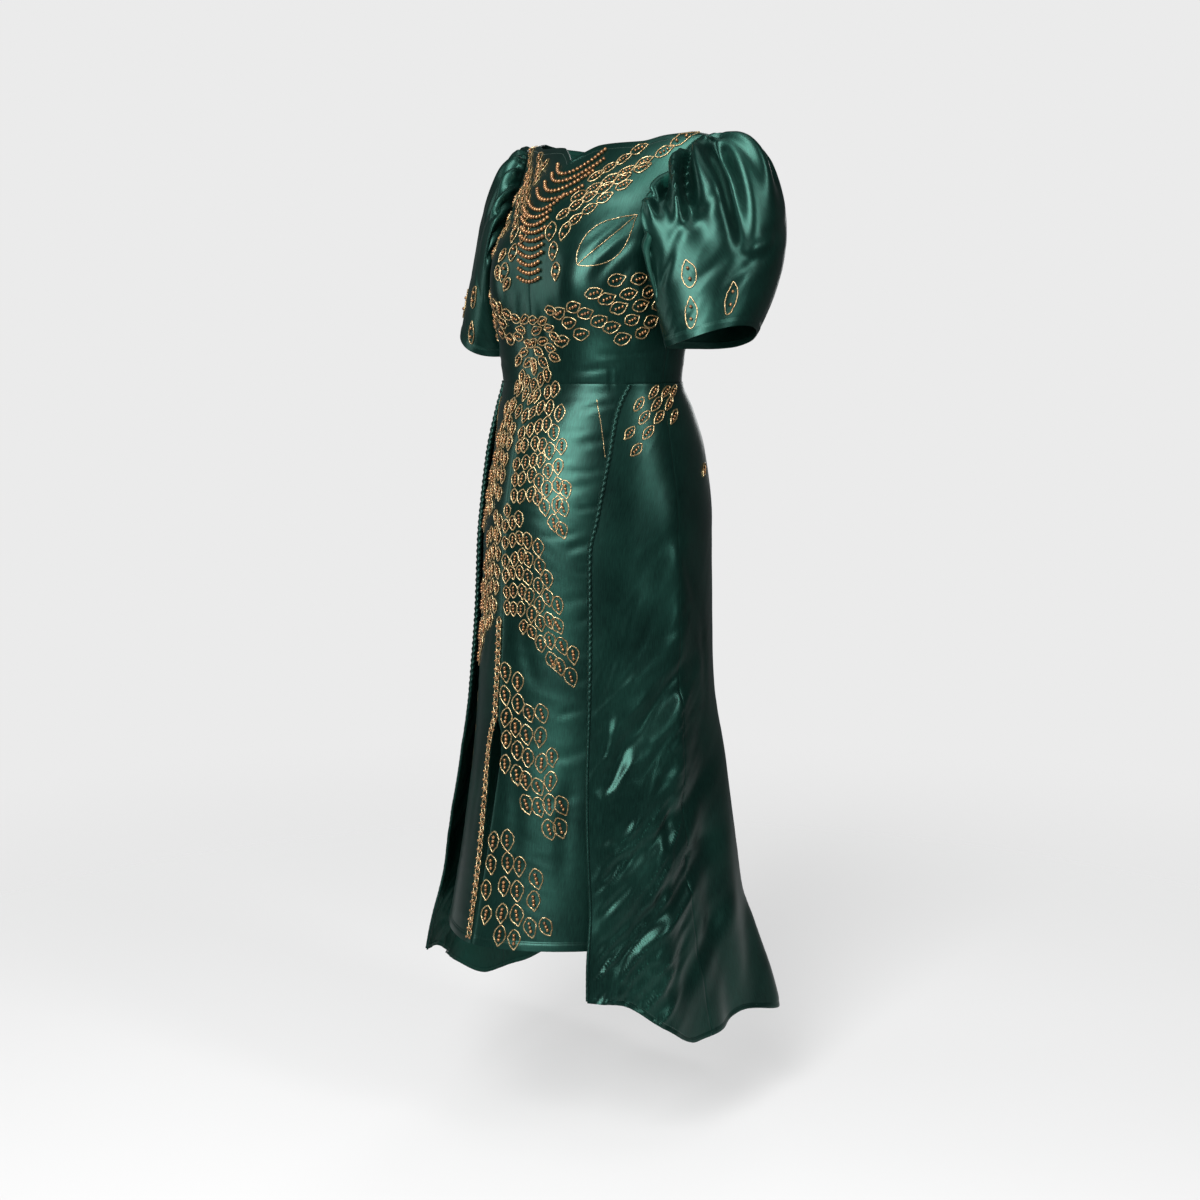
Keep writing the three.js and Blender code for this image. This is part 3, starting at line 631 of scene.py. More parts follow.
def overskirt_relief(around, drop):
    around, drop = np.broadcast_arrays(np.asarray(around, float), np.asarray(drop, float))
    across = cloth_mm(OVERSKIRT, around, drop)
    down = drop + RIGHT_MOVED["overskirt"] * (around < 0)
    rows = creases(across, down, OVERSKIRT_CREASES, OVERSKIRT_STRENGTH)
    for place, wide, height, start, full in SWELLS:
        lean = 0.06 * (drop - WAIST)
        rows = rows + height * bell(across, place + lean, wide) * smooth(start, full, drop)
    low = smooth(*CRUSHED_DROP, drop) * (1 - smooth(*CRUSHED_ACROSS, across))
    rows = rows + crumples(across, down, CRUSHED) * low + crumples(across, down, RIPPLE)
    from_edge = across - overskirt_edge(drop) * quarter_length(OVERSKIRT, 0.5, drop)
    held = EDGE_GIVES + (1 - EDGE_GIVES) * smooth(0, EDGE_STIFF, from_edge)
    return rows * smooth(WAIST, OVERSKIRT_FREE + 30, drop) * held


# %% Relief of the sleeves
# A sleeve's places are in millimetres too, round from under the arm and down, as if it were a plain tube
SLEEVE_ROUND = 700
SLEEVE_LONG = 330
SLEEVE_CREASES = [
    (280, -10, 240, 205, 22.0, 8, 5), (222, -10, 214, 150, 8.0, 6, -4), (316, 16, 304, 262, 20.0, 12, 8),
    (352, 14, 372, 190, 9.0, 12, -8), (296, 246, 362, 238, -4.0, 8, 5), (262, 40, 270, 240, -4.0, 9, 4),
    (148, 30, 174, 196, 9.0, 6, 8),
    (178, 60, 208, 156, 8.0, 6, -8), (196, 20, 190, 112, 5.0, 5, 4), (126, 50, 150, 160, 7.0, 7, 6),
    (196, 208, 300, 170, 2.4, 9, -9), (214, 264, 302, 236, 1.6, 8, 6), (262, 294, 346, 262, 1.8, 8, -6),
    (158, 238, 216, 204, 2.6, 8, 4), (330, 234, 424, 204, 2.4, 11, 8), (176, 300, 240, 284, 1.2, 6, 4),
    (394, 12, 426, 172, 8.0, 11, 8), (444, 14, 452, 152, 6.0, 9, -6), (490, 18, 482, 164, 8.0, 10, -8),
    (540, 36, 520, 172, 6.0, 9, 6), (590, 56, 562, 190, 4.0, 10, -5), (450, 214, 560, 238, 2.4, 12, -9),
    (80, 110, 100, 224, 3.0, 8, 4),
]
SLEEVE_HOLLOWS = [
    # round, down, height, width, length
    (150, 205, -13.0, 44, 62), (560, 190, -6.0, 50, 70), (336, 34, -8.0, 42, 48),
]
SLEEVE_CRUMPLES = [(0.6, 0.35, -62, 60, 19, 41, 0)]
UNDERARM_FLAT = 30  # millimetres beside the underarm seam that stay flat
RIGHT_SLEEVE_SOFTER = 0.45
GATHERS = {"count": 41, "height": 2.2, "gone": 0.2}


def pleats_and_folds(turn, down, folded):
    """The pleats that fan out from the head, and the deep folds between them"""
    full, gone = PLEATS["full"], PLEATS["gone"]
    lie = smooth(0, full, down) * (1 - smooth(full, gone, down))
    wave = 0.5 + 0.5 * np.cos(PLEATS["count"] * turn + 0.6 * np.sin(3 * turn))
    relief = PLEATS["height"] * (1 - np.cos(turn)) / 2 * lie * wave
    degrees = np.degrees(turn)
    for f in SLEEVE_FOLDS:
        middle = (f["from"] + f["to"]) / 2
        along = smooth(f["from"], middle, down) * (1 - smooth(middle, f["to"], down))
        relief = relief + folded * f["height"] * bell(degrees, f["at"], f["wide"]) * along
    return relief


def sleeve_relief(angle, down):
    angle, down = np.broadcast_arrays(np.asarray(angle, float), np.asarray(down, float))
    right = angle < 0
    folded = np.where(right, RIGHT_SLEEVE_SOFTER, 1.0)
    turn = np.abs(angle) % (2 * math.pi)
    across = turn / (2 * math.pi) * SLEEVE_ROUND + RIGHT_MOVED["sleeve"] * right
    along = down * SLEEVE_LONG
    rows = creases(across, along, SLEEVE_CREASES) * folded + pleats_and_folds(turn, down, folded)
    for place, low, height, wide, tall in SLEEVE_HOLLOWS:
        rows = rows + folded * height * bell(across, place, wide) * bell(along, low, tall)
    outside = (1 - np.cos(turn)) / 2
    gather = np.cos(GATHERS["count"] * turn + 1.3 * np.sin(5 * turn)) * outside
    gather *= GATHERS["height"] * smooth(0.005, 0.05, down) * (1 - smooth(0.05, GATHERS["gone"], down))
    small = crumples(across, along, SLEEVE_CRUMPLES) * smooth(0.5, 0.85, down)
    away = smooth(0, UNDERARM_FLAT, across) * (1 - smooth(SLEEVE_ROUND - UNDERARM_FLAT, SLEEVE_ROUND, across))
    return (rows + small) * smooth(0, 0.1, down) * away + gather


# %% [markdown]
# One function turns a grid of places into a closed shell of cloth. It measures how far each point is
# from the panel's four sides, so a sewn side can dip into a seam and a hem can stand up by the
# thickness of its turned cloth, with the groove that a row of stitches pulls in. The same distances,
# in metres, become the UV map, so the weave has its real size.

# %% Shells of cloth
HEM_STEP = 1.0  # how much a hem is raised, and how much thicker it is
HEM_SOFT = 0.8  # half the width of its step
HEM_GROOVE = {"deep": 0.7, "in": 1.2, "wide": 1.1}
SEAM_DEEP = {"seam": 0.45, "centre": 0.2, "slit": 0.3, "waist": 0.45}
SEAM_WIDE = 1.2


def hem_turned(distance, hem_wide):
    """What the turned cloth of a hem adds at a distance from its edge"""
    return HEM_STEP * (1 - smooth(hem_wide - HEM_SOFT, hem_wide + HEM_SOFT, distance))


def side_relief(kind, distance, hem_wide):
    if kind in SEAM_DEEP:
        return -SEAM_DEEP[kind] * bell(distance, 0, SEAM_WIDE)
    if kind == "hem":
        groove = HEM_GROOVE["deep"] * bell(distance, hem_wide - HEM_GROOVE["in"], HEM_GROOVE["wide"])
        return hem_turned(distance, hem_wide) - groove
    return np.zeros_like(distance)


def running_length(points, axis):
    steps = np.linalg.norm(np.diff(points, axis=axis), axis=-1)
    total = np.cumsum(steps, axis=axis)
    first = np.zeros_like(np.take(total, [0], axis=axis))
    return np.concatenate([first, total], axis=axis)


def mesh_object(name, points, faces, material, uv=None, sharp=50):
    """A mesh object from points in millimetres. uv is in metres, one pair for each point, and sharp is
    the angle from which an edge isn't smoothed."""
    mesh = bpy.data.meshes.new(name)
    mesh.from_pydata((points * MM).tolist(), [], faces if isinstance(faces, list) else faces.tolist())
    mesh.polygons.foreach_set("use_smooth", [True] * len(mesh.polygons))
    if sharp:
        mesh.set_sharp_from_angle(angle=math.radians(sharp))
    if uv is not None:
        corners = np.zeros(len(mesh.loops), dtype=np.int32)
        mesh.loops.foreach_get("vertex_index", corners)
        mesh.uv_layers.new(name="cloth").data.foreach_set("uv", uv[corners].ravel())
    mesh.materials.append(material)
    made = bpy.data.objects.new(name, mesh)
    bpy.context.scene.collection.objects.link(made)
    return made


CENTRE_GAP = 0.005
MEETS_WITHIN = {"centre": 9.0, "slit": 1.6}  # only points so near to the centre plane are brought to it


def meet_at_centre(line, reach):
    """Brings a line of points that are sewn to their mirror image to the centre plane"""
    sewn = np.abs(line[:, 0]) < reach
    line[sewn, 0] = np.where(line[sewn, 0].sum() < 0, -CENTRE_GAP, CENTRE_GAP)


def shell(name, form, relief, across, down, sides, hem_wide, closed=False, steps=(0.01, 1.0), flat=None):
    """A closed shell over a grid of places, its rows down the cloth and its columns across it. flat
    gives the UV of a place in millimetres, where the grid's own lengths would skew the weave."""
    base = form(across, down)
    normal = outward(form, across, down, *steps)
    across_mm = running_length(base, 1)
    down_mm = running_length(base, 0)
    lift = relief(across, down)
    thick = np.full(lift.shape, CLOTH_THICK)
    distances = {"left": across_mm, "right": across_mm[:, -1:] - across_mm,
                 "top": down_mm, "bottom": down_mm[-1:] - down_mm}
    for side, distance in distances.items():
        lift = lift + side_relief(sides.get(side), distance, hem_wide)
        if sides.get(side) == "hem":
            thick += hem_turned(distance, hem_wide)
    outer = base + normal * lift[..., None]
    inner = outer - normal * thick[..., None]
    for side, column in (("left", 0), ("right", -1)):
        if sides.get(side) in MEETS_WITHIN:
            meet_at_centre(outer[:, column], MEETS_WITHIN[sides[side]])
            meet_at_centre(inner[:, column], MEETS_WITHIN[sides[side]])
    rows, columns = across.shape
    count = rows * columns
    index = np.arange(count).reshape(rows, columns)
    if closed:
        index = np.concatenate([index[:, :-1], index[:, :1]], axis=1)
    a, b, c, d = index[:-1, :-1], index[1:, :-1], index[1:, 1:], index[:-1, 1:]
    front = np.stack([a, b, c, d], axis=-1).reshape(-1, 4)
    faces = [front, front[:, ::-1] + count]
    borders = [index[0, ::-1], index[-1, :]]
    if not closed:
        borders += [index[:, 0], index[::-1, -1]]
    for border in borders:
        faces.append(np.stack([border[:-1], border[:-1] + count, border[1:] + count, border[1:]], axis=-1))
    points = np.concatenate([outer.reshape(-1, 3), inner.reshape(-1, 3)])
    spread = flat(across, down) if flat else (across_mm, -down_mm)
    uv = np.stack(spread, axis=-1).reshape(-1, 2) * MM
    made = mesh_object(name, points, np.concatenate(faces), satin_cloth, np.concatenate([uv, uv]))
    made.data.materials.append(satin_inside)
    inside = np.zeros(len(made.data.polygons), dtype=np.int32)
    inside[len(front):2 * len(front)] = 1
    made.data.polygons.foreach_set("material_index", inside)
    area = float(np.linalg.norm(np.cross(outer[1:, :-1] - outer[:-1, :-1],
                                         outer[:-1, 1:] - outer[:-1, :-1]), axis=-1).sum()) * MM * MM
    wide = float(across_mm[:, -1].max()) * MM
    long = float(down_mm[-1].max()) * MM
    made["cut"] = [round(wide, 3), round(long, 3), round(min(area, wide * long), 4)]
    return made


HEM_LINE = np.array([-2.6, -1.7, -0.8, 0.0, 0.8, 1.6])  # rows of points beside a hem's step
END_STEPS = np.array([0.12, 0.35])  # rows close to an end, as shares of an even step


def crowded(start, end, count, hem=None):
    """Even steps, finer at both ends, and round a hem's line of stitches at a distance from the end"""
    even = np.linspace(0, 1, count)
    near = END_STEPS / (count - 1)
    line = [] if hem is None else 1 - (hem + HEM_LINE) / abs(end - start)
    shares = np.unique(np.concatenate([even, near, 1 - near, line]))
    return start + (end - start) * shares


# %% [markdown]
# Each panel is cut, and its shell records the flat size that its own points give.
# It replaces its solid, and rides on the gown's body.

# %% Sewing in a panel
def sew_in(piece, nodes):
    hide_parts(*nodes)
    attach(piece, "gown")


HANDS = {"left": 1.0, "right": -1.0}


def cut_panels(part, ends, grid, form, relief, top, bottom, hem_wide, flat=None):
    """The panels of one part, for both hands. ends names them, with the kinds of the first and the last
    column on the left hand. The right hand is its mirror image, with its columns still rising."""
    made = {}
    for hand in HANDS:
        for side, (first, last) in ends.items():
            around, drop = grid(side)
            if hand == "right":
                around, drop = -around[:, ::-1], drop[:, ::-1]
                first, last = last, first
            kinds = {"left": first, "right": last, "top": top, "bottom": bottom}
            made[side, hand] = shell(f"cloth_{part}_{side}_{hand}", form, relief, around, drop, kinds,
                                     hem_wide, flat=flat)
    return made


# %% [markdown]
# The bodice. Its rows run level up to the underarm, then bend with the armhole, and the last ones
# follow the neckline. The columns run from the centre line to the side seam or the armhole.

# %% Bodice panels
BODICE_COLUMNS = 62
BODICE_LOW_ROWS = 46
BODICE_ARM_ROWS = 46
NOTCH_CROWDING = 1.18
FACING_WIDE = 9.0
SEAM_SHARE = SEAM_GAP / 200  # the gap at a seam, as a share of a quarter of the dress


def bodice_grid(side):
    turn = 1 if side == "front" else -1
    low = crowded(WAIST - SEAM_GAP, UNDERARM, BODICE_LOW_ROWS)
    angle = np.linspace(0, math.pi, BODICE_ARM_ROWS)[1:]
    edge_around = np.concatenate([np.ones_like(low), 1 - turn * ARMHOLE_CUT * np.sin(angle), [1.0, 1.0]])
    edge_drop = np.concatenate([low, UNDERARM * (1 + np.cos(angle)) / 2, [SHOULDER_NECK / 2, SHOULDER_NECK]])
    edge_around, edge_drop = edge_around[::-1, None], edge_drop[::-1, None]
    share = crowded(0, 1, BODICE_COLUMNS)[None, :] ** NOTCH_CROWDING
    neck = (FRONT_NECK if side == "front" else BACK_NECK)(share)["drop"]
    raised = np.clip((UNDERARM - edge_drop) / (UNDERARM - SHOULDER_NECK), 0, None)
    drop = np.where(edge_drop >= UNDERARM, edge_drop + 0 * share, UNDERARM + (neck - UNDERARM) * raised)
    if side == "front":
        return SEAM_SHARE + (edge_around - 2 * SEAM_SHARE) * share, drop
    around = 2 - SEAM_SHARE + (edge_around + 2 * SEAM_SHARE - 2) * share
    return around[:, ::-1], drop[:, ::-1]


bodice = cut_panels("bodice", {"front": ("centre", "seam"), "back": ("seam", "centre")}, bodice_grid,
                    body_form, dress_relief, "hem", "waist", FACING_WIDE, dress_flat)
for (side, hand), piece in bodice.items():
    sew_in(piece, [f"bodice_{side}_{hand}"])

# %% [markdown]
# The sheath skirt. The front panels part at the slit, where each has its own turned edge.

# %% Sheath skirt panels
SKIRT_COLUMNS = {"front": 56, "back": 40}
SKIRT_ROWS = {"front": 210, "back": 110}
HEM_WIDE = 12.0


def skirt_grid(side):
    drop = crowded(WAIST + SEAM_GAP, SHEATH_HEM, SKIRT_ROWS[side], HEM_WIDE)[:, None]
    share = crowded(0, 1, SKIRT_COLUMNS[side])[None, :]
    if side == "front":
        first = place_at(BODY, SLIT(drop)["halfGap"], drop)
        around = first + (1 - SEAM_SHARE - first) * share
    else:
        around = 1 + SEAM_SHARE + (1 - 2 * SEAM_SHARE) * share + 0 * drop
    return around, drop + 0 * around


skirt = cut_panels("skirt", {"front": ("slit", "seam"), "back": ("seam", "centre")}, skirt_grid,
                   body_form, dress_relief, "waist", "hem", HEM_WIDE, dress_flat)
for (side, hand), piece in skirt.items():
    sew_in(piece, [f"skirt_{side}_{hand}"])

# %% [markdown]
# The overskirt: on each side one panel from the open front edge to the side seam, and one from there to
# the centre back. Its front edge is rolled and whipped, so it looks like a thin twisted cord.

# %% Overskirt panels
OVERSKIRT_COLUMNS = {"side": 58, "back": 66}
OVERSKIRT_ROWS = {"side": 232, "back": 160}
OVERSKIRT_LONG = 860.0
OVERSKIRT_HEM_WIDE = 7.0
OVERSKIRT_SEAM_SHARE = SEAM_GAP / 300


def overskirt_grid(side):
    share = crowded(0, 1, OVERSKIRT_COLUMNS[side])[None, :]
    down = crowded(0, OVERSKIRT_LONG, OVERSKIRT_ROWS[side], OVERSKIRT_HEM_WIDE)[:, None] / OVERSKIRT_LONG
    gap = OVERSKIRT_SEAM_SHARE
    hem_around = 0.5 + 0.5 * share if side == "side" else 1 + share
    drop = WAIST + SEAM_GAP + (OVERSKIRT_HEM(hem_around)["drop"] - WAIST - SEAM_GAP) * down
    if side == "side":
        first = overskirt_edge(drop)
        return first + (1 - gap - first) * share, drop
    return 1 + gap + (1 - 2 * gap) * share + 0 * drop, drop


overskirt = cut_panels("overskirt", {"side": (None, "seam"), "back": ("seam", "centre")}, overskirt_grid,
                       overskirt_form, overskirt_relief, "seam", "hem", OVERSKIRT_HEM_WIDE)
print("overskirt panels:", len(overskirt), "declared as sheets once their rolled edges are made")

# %% [markdown]
# The sleeves. Each is one tube, set into the armhole at the top and with a wide hem at the elbow.

# %% Sleeve shells
SLEEVE_COLUMNS = 216
SLEEVE_ROWS = 98
SLEEVE_HEM_WIDE = 12.0
SLEEVE_START = 0.002
SLEEVE_HEM_ROWS = np.array([1.4, 1.24, 1.14, 1.06, 1.0, 0.94, 0.86, 0.76, 0.6, 0.4, 0.2, 0.06, 0.0])
SLEEVE_BODY_ENDS = 1.6  # how far above the edge the even rows end, in widths of the hem
SLEEVE_STEPS = (0.01, 0.003)
SLEEVE_FORMS = {"left": left_sleeve_form, "right": right_sleeve_form}


def share_of_mm(hand, turn):
    """The share of the sleeve's length that one millimetre is, at its edge"""
    form = SLEEVE_FORMS[hand]
    return 0.01 / np.linalg.norm(form(turn, 1.0) - form(turn, 0.99), axis=-1)


for hand in HANDS:
    turn = np.linspace(0, 2 * math.pi, SLEEVE_COLUMNS + 1)[None, :] - (0 if hand == "left" else 2 * math.pi)
    hem_share = SLEEVE_HEM_WIDE * share_of_mm(hand, turn)
    last = 1 - SLEEVE_BODY_ENDS * hem_share
    down = SLEEVE_START + (last - SLEEVE_START) * crowded(0, 1, SLEEVE_ROWS)[:, None]
    down = np.concatenate([down, 1 - hem_share * SLEEVE_HEM_ROWS[:, None]])
    piece = shell(f"cloth_sleeve_{hand}", SLEEVE_FORMS[hand], sleeve_relief, turn + 0 * down, down,
                  {"top": "seam", "bottom": "hem"}, SLEEVE_HEM_WIDE, closed=True, steps=SLEEVE_STEPS)
    sew_in(piece, [f"sleeve_{hand}_front", f"sleeve_{hand}_back"])

# %% [markdown]
# Small things laid on cloth. A point on the finished cloth is the form, moved out by its relief and by
# how high the thing lies. Beads are copies of one small template, turned and placed with arrays, and
# each group is one joined mesh.

# %% Places on the finished cloth
def on_cloth(form, relief, steps=(0.01, 1.0)):
    """A function that gives the point and the outward direction at a place, lifted off the cloth"""
    def point(across, down, lift=0.0):
        normal = outward(form, across, down, *steps)
        return form(across, down) + normal * (relief(across, down) + lift)[..., None], normal
    return point


dress_point = on_cloth(body_form, dress_relief)
overskirt_point = on_cloth(overskirt_form, overskirt_relief)
sleeve_points = {hand: on_cloth(SLEEVE_FORMS[hand], sleeve_relief, SLEEVE_STEPS) for hand in HANDS}


def unit(vectors):
    return vectors / np.maximum(np.linalg.norm(vectors, axis=-1, keepdims=True), 1e-9)


# %% Templates: a cut tube and a round bead
def tube_template(sides):
    """A tube along Z, one unit long and one in radius, with flat ends"""
    turn = np.arange(sides) * 2 * math.pi / sides
    ring = np.stack([np.cos(turn), np.sin(turn)], axis=-1)
    points = np.concatenate([np.c_[ring, np.full(sides, -0.5)], np.c_[ring, np.full(sides, 0.5)]])
    faces = []
    for k in range(sides):
        after = (k + 1) % sides
        faces += [(k, after, after + sides), (k, after + sides, k + sides)]
    for k in range(1, sides - 1):
        faces += [(0, k + 1, k), (sides, sides + k, sides + k + 1)]
    return points, np.array(faces)


def ball_template(rings):
    """A bead one unit in radius, flattened a little along Z, the way its hole runs"""
    ball = bmesh.new()
    bmesh.ops.create_icosphere(ball, subdivisions=rings, radius=1.0)
    points = np.array([v.co[:] for v in ball.verts]) * np.array([1, 1, 0.86])
    faces = np.array([[v.index for v in f.verts] for f in ball.faces])
    ball.free()
    return points, faces


BUGLE = tube_template(6)
BALL = ball_template(2)
STITCH = tube_template(5)


def copies(template, centre, along, out, radius, length):
    """Joins copies of a template. along is each copy's own Z axis, and out points off the cloth."""
    points, faces = template
    z = unit(along)
    x = unit(out - z * (out * z).sum(axis=-1, keepdims=True))
    y = np.cross(z, x)
    radius = np.broadcast_to(radius, centre.shape[:-1])[:, None, None]
    length = np.broadcast_to(length, centre.shape[:-1])[:, None, None]
    px, py, pz = points.T[:, None, :, None]
    placed = (centre[:, None, :] + radius * (px * x[:, None, :] + py * y[:, None, :])
              + length * pz * z[:, None, :])
    shifted = faces[None, :, :] + (np.arange(len(centre)) * len(points))[:, None, None]
    return placed.reshape(-1, 3), shifted.reshape(-1, 3)


def joined(name, parts, material, sharp=70):
    points, faces, start = [], [], 0
    for part_points, part_faces in parts:
        points.append(part_points)
        faces.append(part_faces + start)
        start += len(part_points)
    made = mesh_object(name, np.concatenate(points), np.concatenate(faces), material, sharp=sharp)
    print(f"{name}: {len(made.data.polygons)} triangles")
    return made


# %% [markdown]
# One beaded leaf is a pointed oval of bugles laid end to end, with two or three round beads in line
# inside it. Its outline is a formula: a sine across, sharper at the tip than at the base. Stepping
# round it by equal lengths gives each bugle its two ends.

# %% The beaded leaf
BUGLE_RADIUS = 1.0
BUGLE_FILL = 0.88  # the share of a step that its bugle takes
ROUND_SHARE = 0.096  # the radius of the round beads in a leaf, for each mm of its length
ROUND_LARGEST = 2.7
ROUNDS_REACH = (-0.2, 0.18)  # where the first and the last of them lie, in lengths of the leaf
OUTLINE_STEPS = 14
rng = np.random.default_rng(20)


def leaf_outline(steps, ratio=0.6, base=1.7, tip=2.3):
    """Points round a leaf one unit long, in equal steps, with its tip at +0.5. It is widest nearer to
    its base, and a higher power at the base or tip makes that end more pointed."""
    turn = np.linspace(0, 2 * math.pi, 721)
    power = (base + tip) / 2 - (tip - base) / 2 * np.cos(turn)
    side = ratio / 2 * np.sign(np.sin(turn)) * np.abs(np.sin(turn)) ** power * (1 + 0.2 * np.cos(turn))
    line = np.stack([-0.5 * np.cos(turn), side], axis=-1)
    run = running_length(line, 0)
    marks = np.linspace(0, run[-1], steps + 1)
    return np.stack([np.interp(marks, run, line[:, k]) for k in (0, 1)], axis=-1)


class Beading:
    """Collects bugles and round beads laid on one cloth, then joins each kind"""

    def __init__(self, point, to_place):
        self.point, self.to_place = point, to_place
        self.bugles, self.rounds = [], []

    def line(self, across, down, fill=BUGLE_FILL, radius=BUGLE_RADIUS):
        """Bugles end to end along each row of points"""
        points, normal = self.point(*self.to_place(across, down), radius * 0.9)
        start, end = points[..., :-1, :], points[..., 1:, :]
        along = (end - start).reshape(-1, 3)
        out = normal[..., :-1, :].reshape(-1, 3)
        centre = ((start + end) / 2).reshape(-1, 3)
        length = np.linalg.norm(along, axis=-1)
        along = unit(along) + rng.normal(0, 0.06, along.shape)
        self.bugles.append(copies(BUGLE, centre, along, out, radius, length * fill))

    def beads(self, across, down, radius):
        """Round beads at each place"""
        across, down = np.ravel(across), np.ravel(down)
        points, normal = self.point(*self.to_place(across, down), radius * 0.72)
        beside = np.cross(normal, np.array([0.0, 0.0, 1.0])) + rng.normal(0, 0.2, points.shape)
        size = radius * rng.uniform(0.92, 1.08, len(points))
        self.rounds.append(copies(BALL, points, beside, normal, size, size))

    def leaves(self, across, down, tilt, length, width_share=0.6, steps=OUTLINE_STEPS, inside=3, base=1.7):
        """Leaves at each place. tilt is in degrees, 0 with the tip pointing down."""
        across, down = np.ravel(across).astype(float), np.ravel(down).astype(float)
        turn = np.radians(np.broadcast_to(tilt, across.shape) + rng.normal(0, 5, across.shape))
        size = np.broadcast_to(length, across.shape) * rng.uniform(0.93, 1.07, across.shape)
        outline = leaf_outline(steps, width_share, base)
        along = size[:, None] * outline[None, :, 0]
        beside = size[:, None] * outline[None, :, 1]
        sin, cos = np.sin(turn)[:, None], np.cos(turn)[:, None]
        wobble = rng.normal(0, 0.35, (2,) + along.shape)
        wobble[..., -1] = wobble[..., 0]
        self.line(across[:, None] + along * sin + beside * cos + wobble[0],
                  down[:, None] + along * cos - beside * sin + wobble[1])
        inner = size[:, None] * np.linspace(*ROUNDS_REACH, inside)[None, :]
        self.beads(across[:, None] + inner * sin, down[:, None] + inner * cos,
                   min(length * ROUND_SHARE, ROUND_LARGEST))

    def finish(self, name):
        made = [joined(f"{name}_bugles", self.bugles, bugle_gold)]
        if self.rounds:
            made.append(joined(f"{name}_rounds", self.rounds, bead_copper))
        for piece, slot_name in zip(made, ("bead_gold", "bead_copper")):
            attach(piece, "gown")
        return made


def dress_place(across, down):
    """From millimetres on the sheath to its place round the body. Minus is the wearer's right."""
    return across / quarter_length(BODY, 0.5, down), down


def overskirt_place(across, down):
    front, back = (quarter_length(OVERSKIRT, middle, down) for middle in (0.5, 1.5))
    size = np.abs(across)
    place = np.where(size <= front, size / front, 1 + (size - front) / back)
    return place * np.sign(across), down


# %% [markdown]
# The chest piece: fourteen hanging rows of round beads. The low ones are short and level, and the upper
# ones open out and climb towards the shoulders. The columns are: centre across, lowest drop, reach to
# the wearer's left and rise of that end, reach to the right and rise of that end.

# %% Chest rows
CHEST_ROWS = [
    (6, 51, 44, 35, 27, 15), (8, 62, 50, 33, 27, 13), (6, 75, 48, 30, 28, 14), (4, 87, 50, 20, 36, 17),
    (-3, 100, 33, 20, 36, 13), (-7, 110, 26, 12, 40, 14), (-9, 121, 24, 10, 34, 12), (-8, 131, 25, 8, 26, 8),
    (-6, 142, 24, 7, 24, 7), (-5, 153, 23, 7, 23, 7), (-3, 164, 23, 7, 23, 7), (-2, 175, 22, 7, 22, 7),
    (0, 186, 22, 7, 22, 7), (0, 197, 21, 6, 21, 6),
]
CHEST_BEAD = 3.1
CHEST_STEP = 5.9
yoke = Beading(dress_point, dress_place)
for centre, low, reach_left, rise_left, reach_right, rise_right in CHEST_ROWS:
    fine = np.linspace(-reach_right, reach_left, 200)
    rise = np.where(fine > 0, rise_left * (fine / reach_left) ** 2, rise_right * (fine / reach_right) ** 2)
    row = np.stack([centre + fine, low - rise], axis=-1)
    laid, _ = dress_point(*dress_place(row[:, 0], row[:, 1]))
    run = running_length(laid, 0)
    marks = np.arange(0, run[-1], CHEST_STEP)
    yoke.beads(np.interp(marks, run, row[:, 0]), np.interp(marks, run, row[:, 1]), CHEST_BEAD)

# %% [markdown]
# Leaves sweep from each shoulder down beside the chest rows, in four lines that close up towards the
# centre, and a few loose ones hang below. On the right a chain of them carries on down the side.

# %% Yoke leaves
YOKE_LINES = [
    # across at the shoulder, its drop, across at the inner end, its drop, how many leaves
    (100, 18, 60, 54, 4), (138, 22, 52, 82, 6), (120, 44, 38, 106, 6), (108, 68, 60, 114, 4),
]
LOOSE_LEAVES = [(153, 5, 125), (26, 130, 8), (50, 130, -6), (40, 157, 4), (52, 184, 8)]
RIGHT_CHAIN = [(66, 34), (104, 50), (136, 78), (136, 104), (122, 130), (92, 122), (112, 153), (62, 160),
               (64, 184), (44, 200), (66, 234)]
for sign in (1, -1):
    for x0, y0, x1, y1, count in YOKE_LINES:
        share = np.linspace(0, 1, count) ** 0.9
        across = x0 + (x1 - x0) * share
        down = y0 + (y1 - y0) * share
        tilt = 180 - math.degrees(math.atan2(x0 - x1, y1 - y0))
        yoke.leaves(sign * across, down, sign * tilt, length=22)
    for across, down, tilt in LOOSE_LEAVES:
        yoke.leaves([sign * across], [down], sign * tilt, length=27, inside=2)
across, down = np.array(RIGHT_CHAIN, float).T
yoke.leaves(-across, down, rng.uniform(-30, 30, len(across)), length=22)

# %% [markdown]
# One large leaf in outline lies on the left breast, drawn here as a plain pointed leaf with a midrib,
# both in single bugles.

# %% The large outlined leaf
BIG_LEAF = {"across": 114, "down": 142, "tilt": 140, "length": 88, "width_share": 0.62, "steps": 40}
outline = leaf_outline(BIG_LEAF["steps"], BIG_LEAF["width_share"]) * BIG_LEAF["length"]
turn = math.radians(BIG_LEAF["tilt"])
midrib = np.stack([np.linspace(-44, 40, 18), np.zeros(18)], axis=-1)
for line in (outline, midrib):
    across = BIG_LEAF["across"] + line[:, 0] * math.sin(turn) + line[:, 1] * math.cos(turn)
    down = BIG_LEAF["down"] + line[:, 0] * math.cos(turn) - line[:, 1] * math.sin(turn)
    yoke.line(across, down, radius=0.7)
yoke.finish("yoke")

# %% [markdown]
# The waist band is a belt of leaves that lie almost level. It is deepest at the side and dips to the
# centre front, where the leaves crowd together and turn downwards. They sit in staggered rows, and
# small seeded shifts keep them from looking printed.

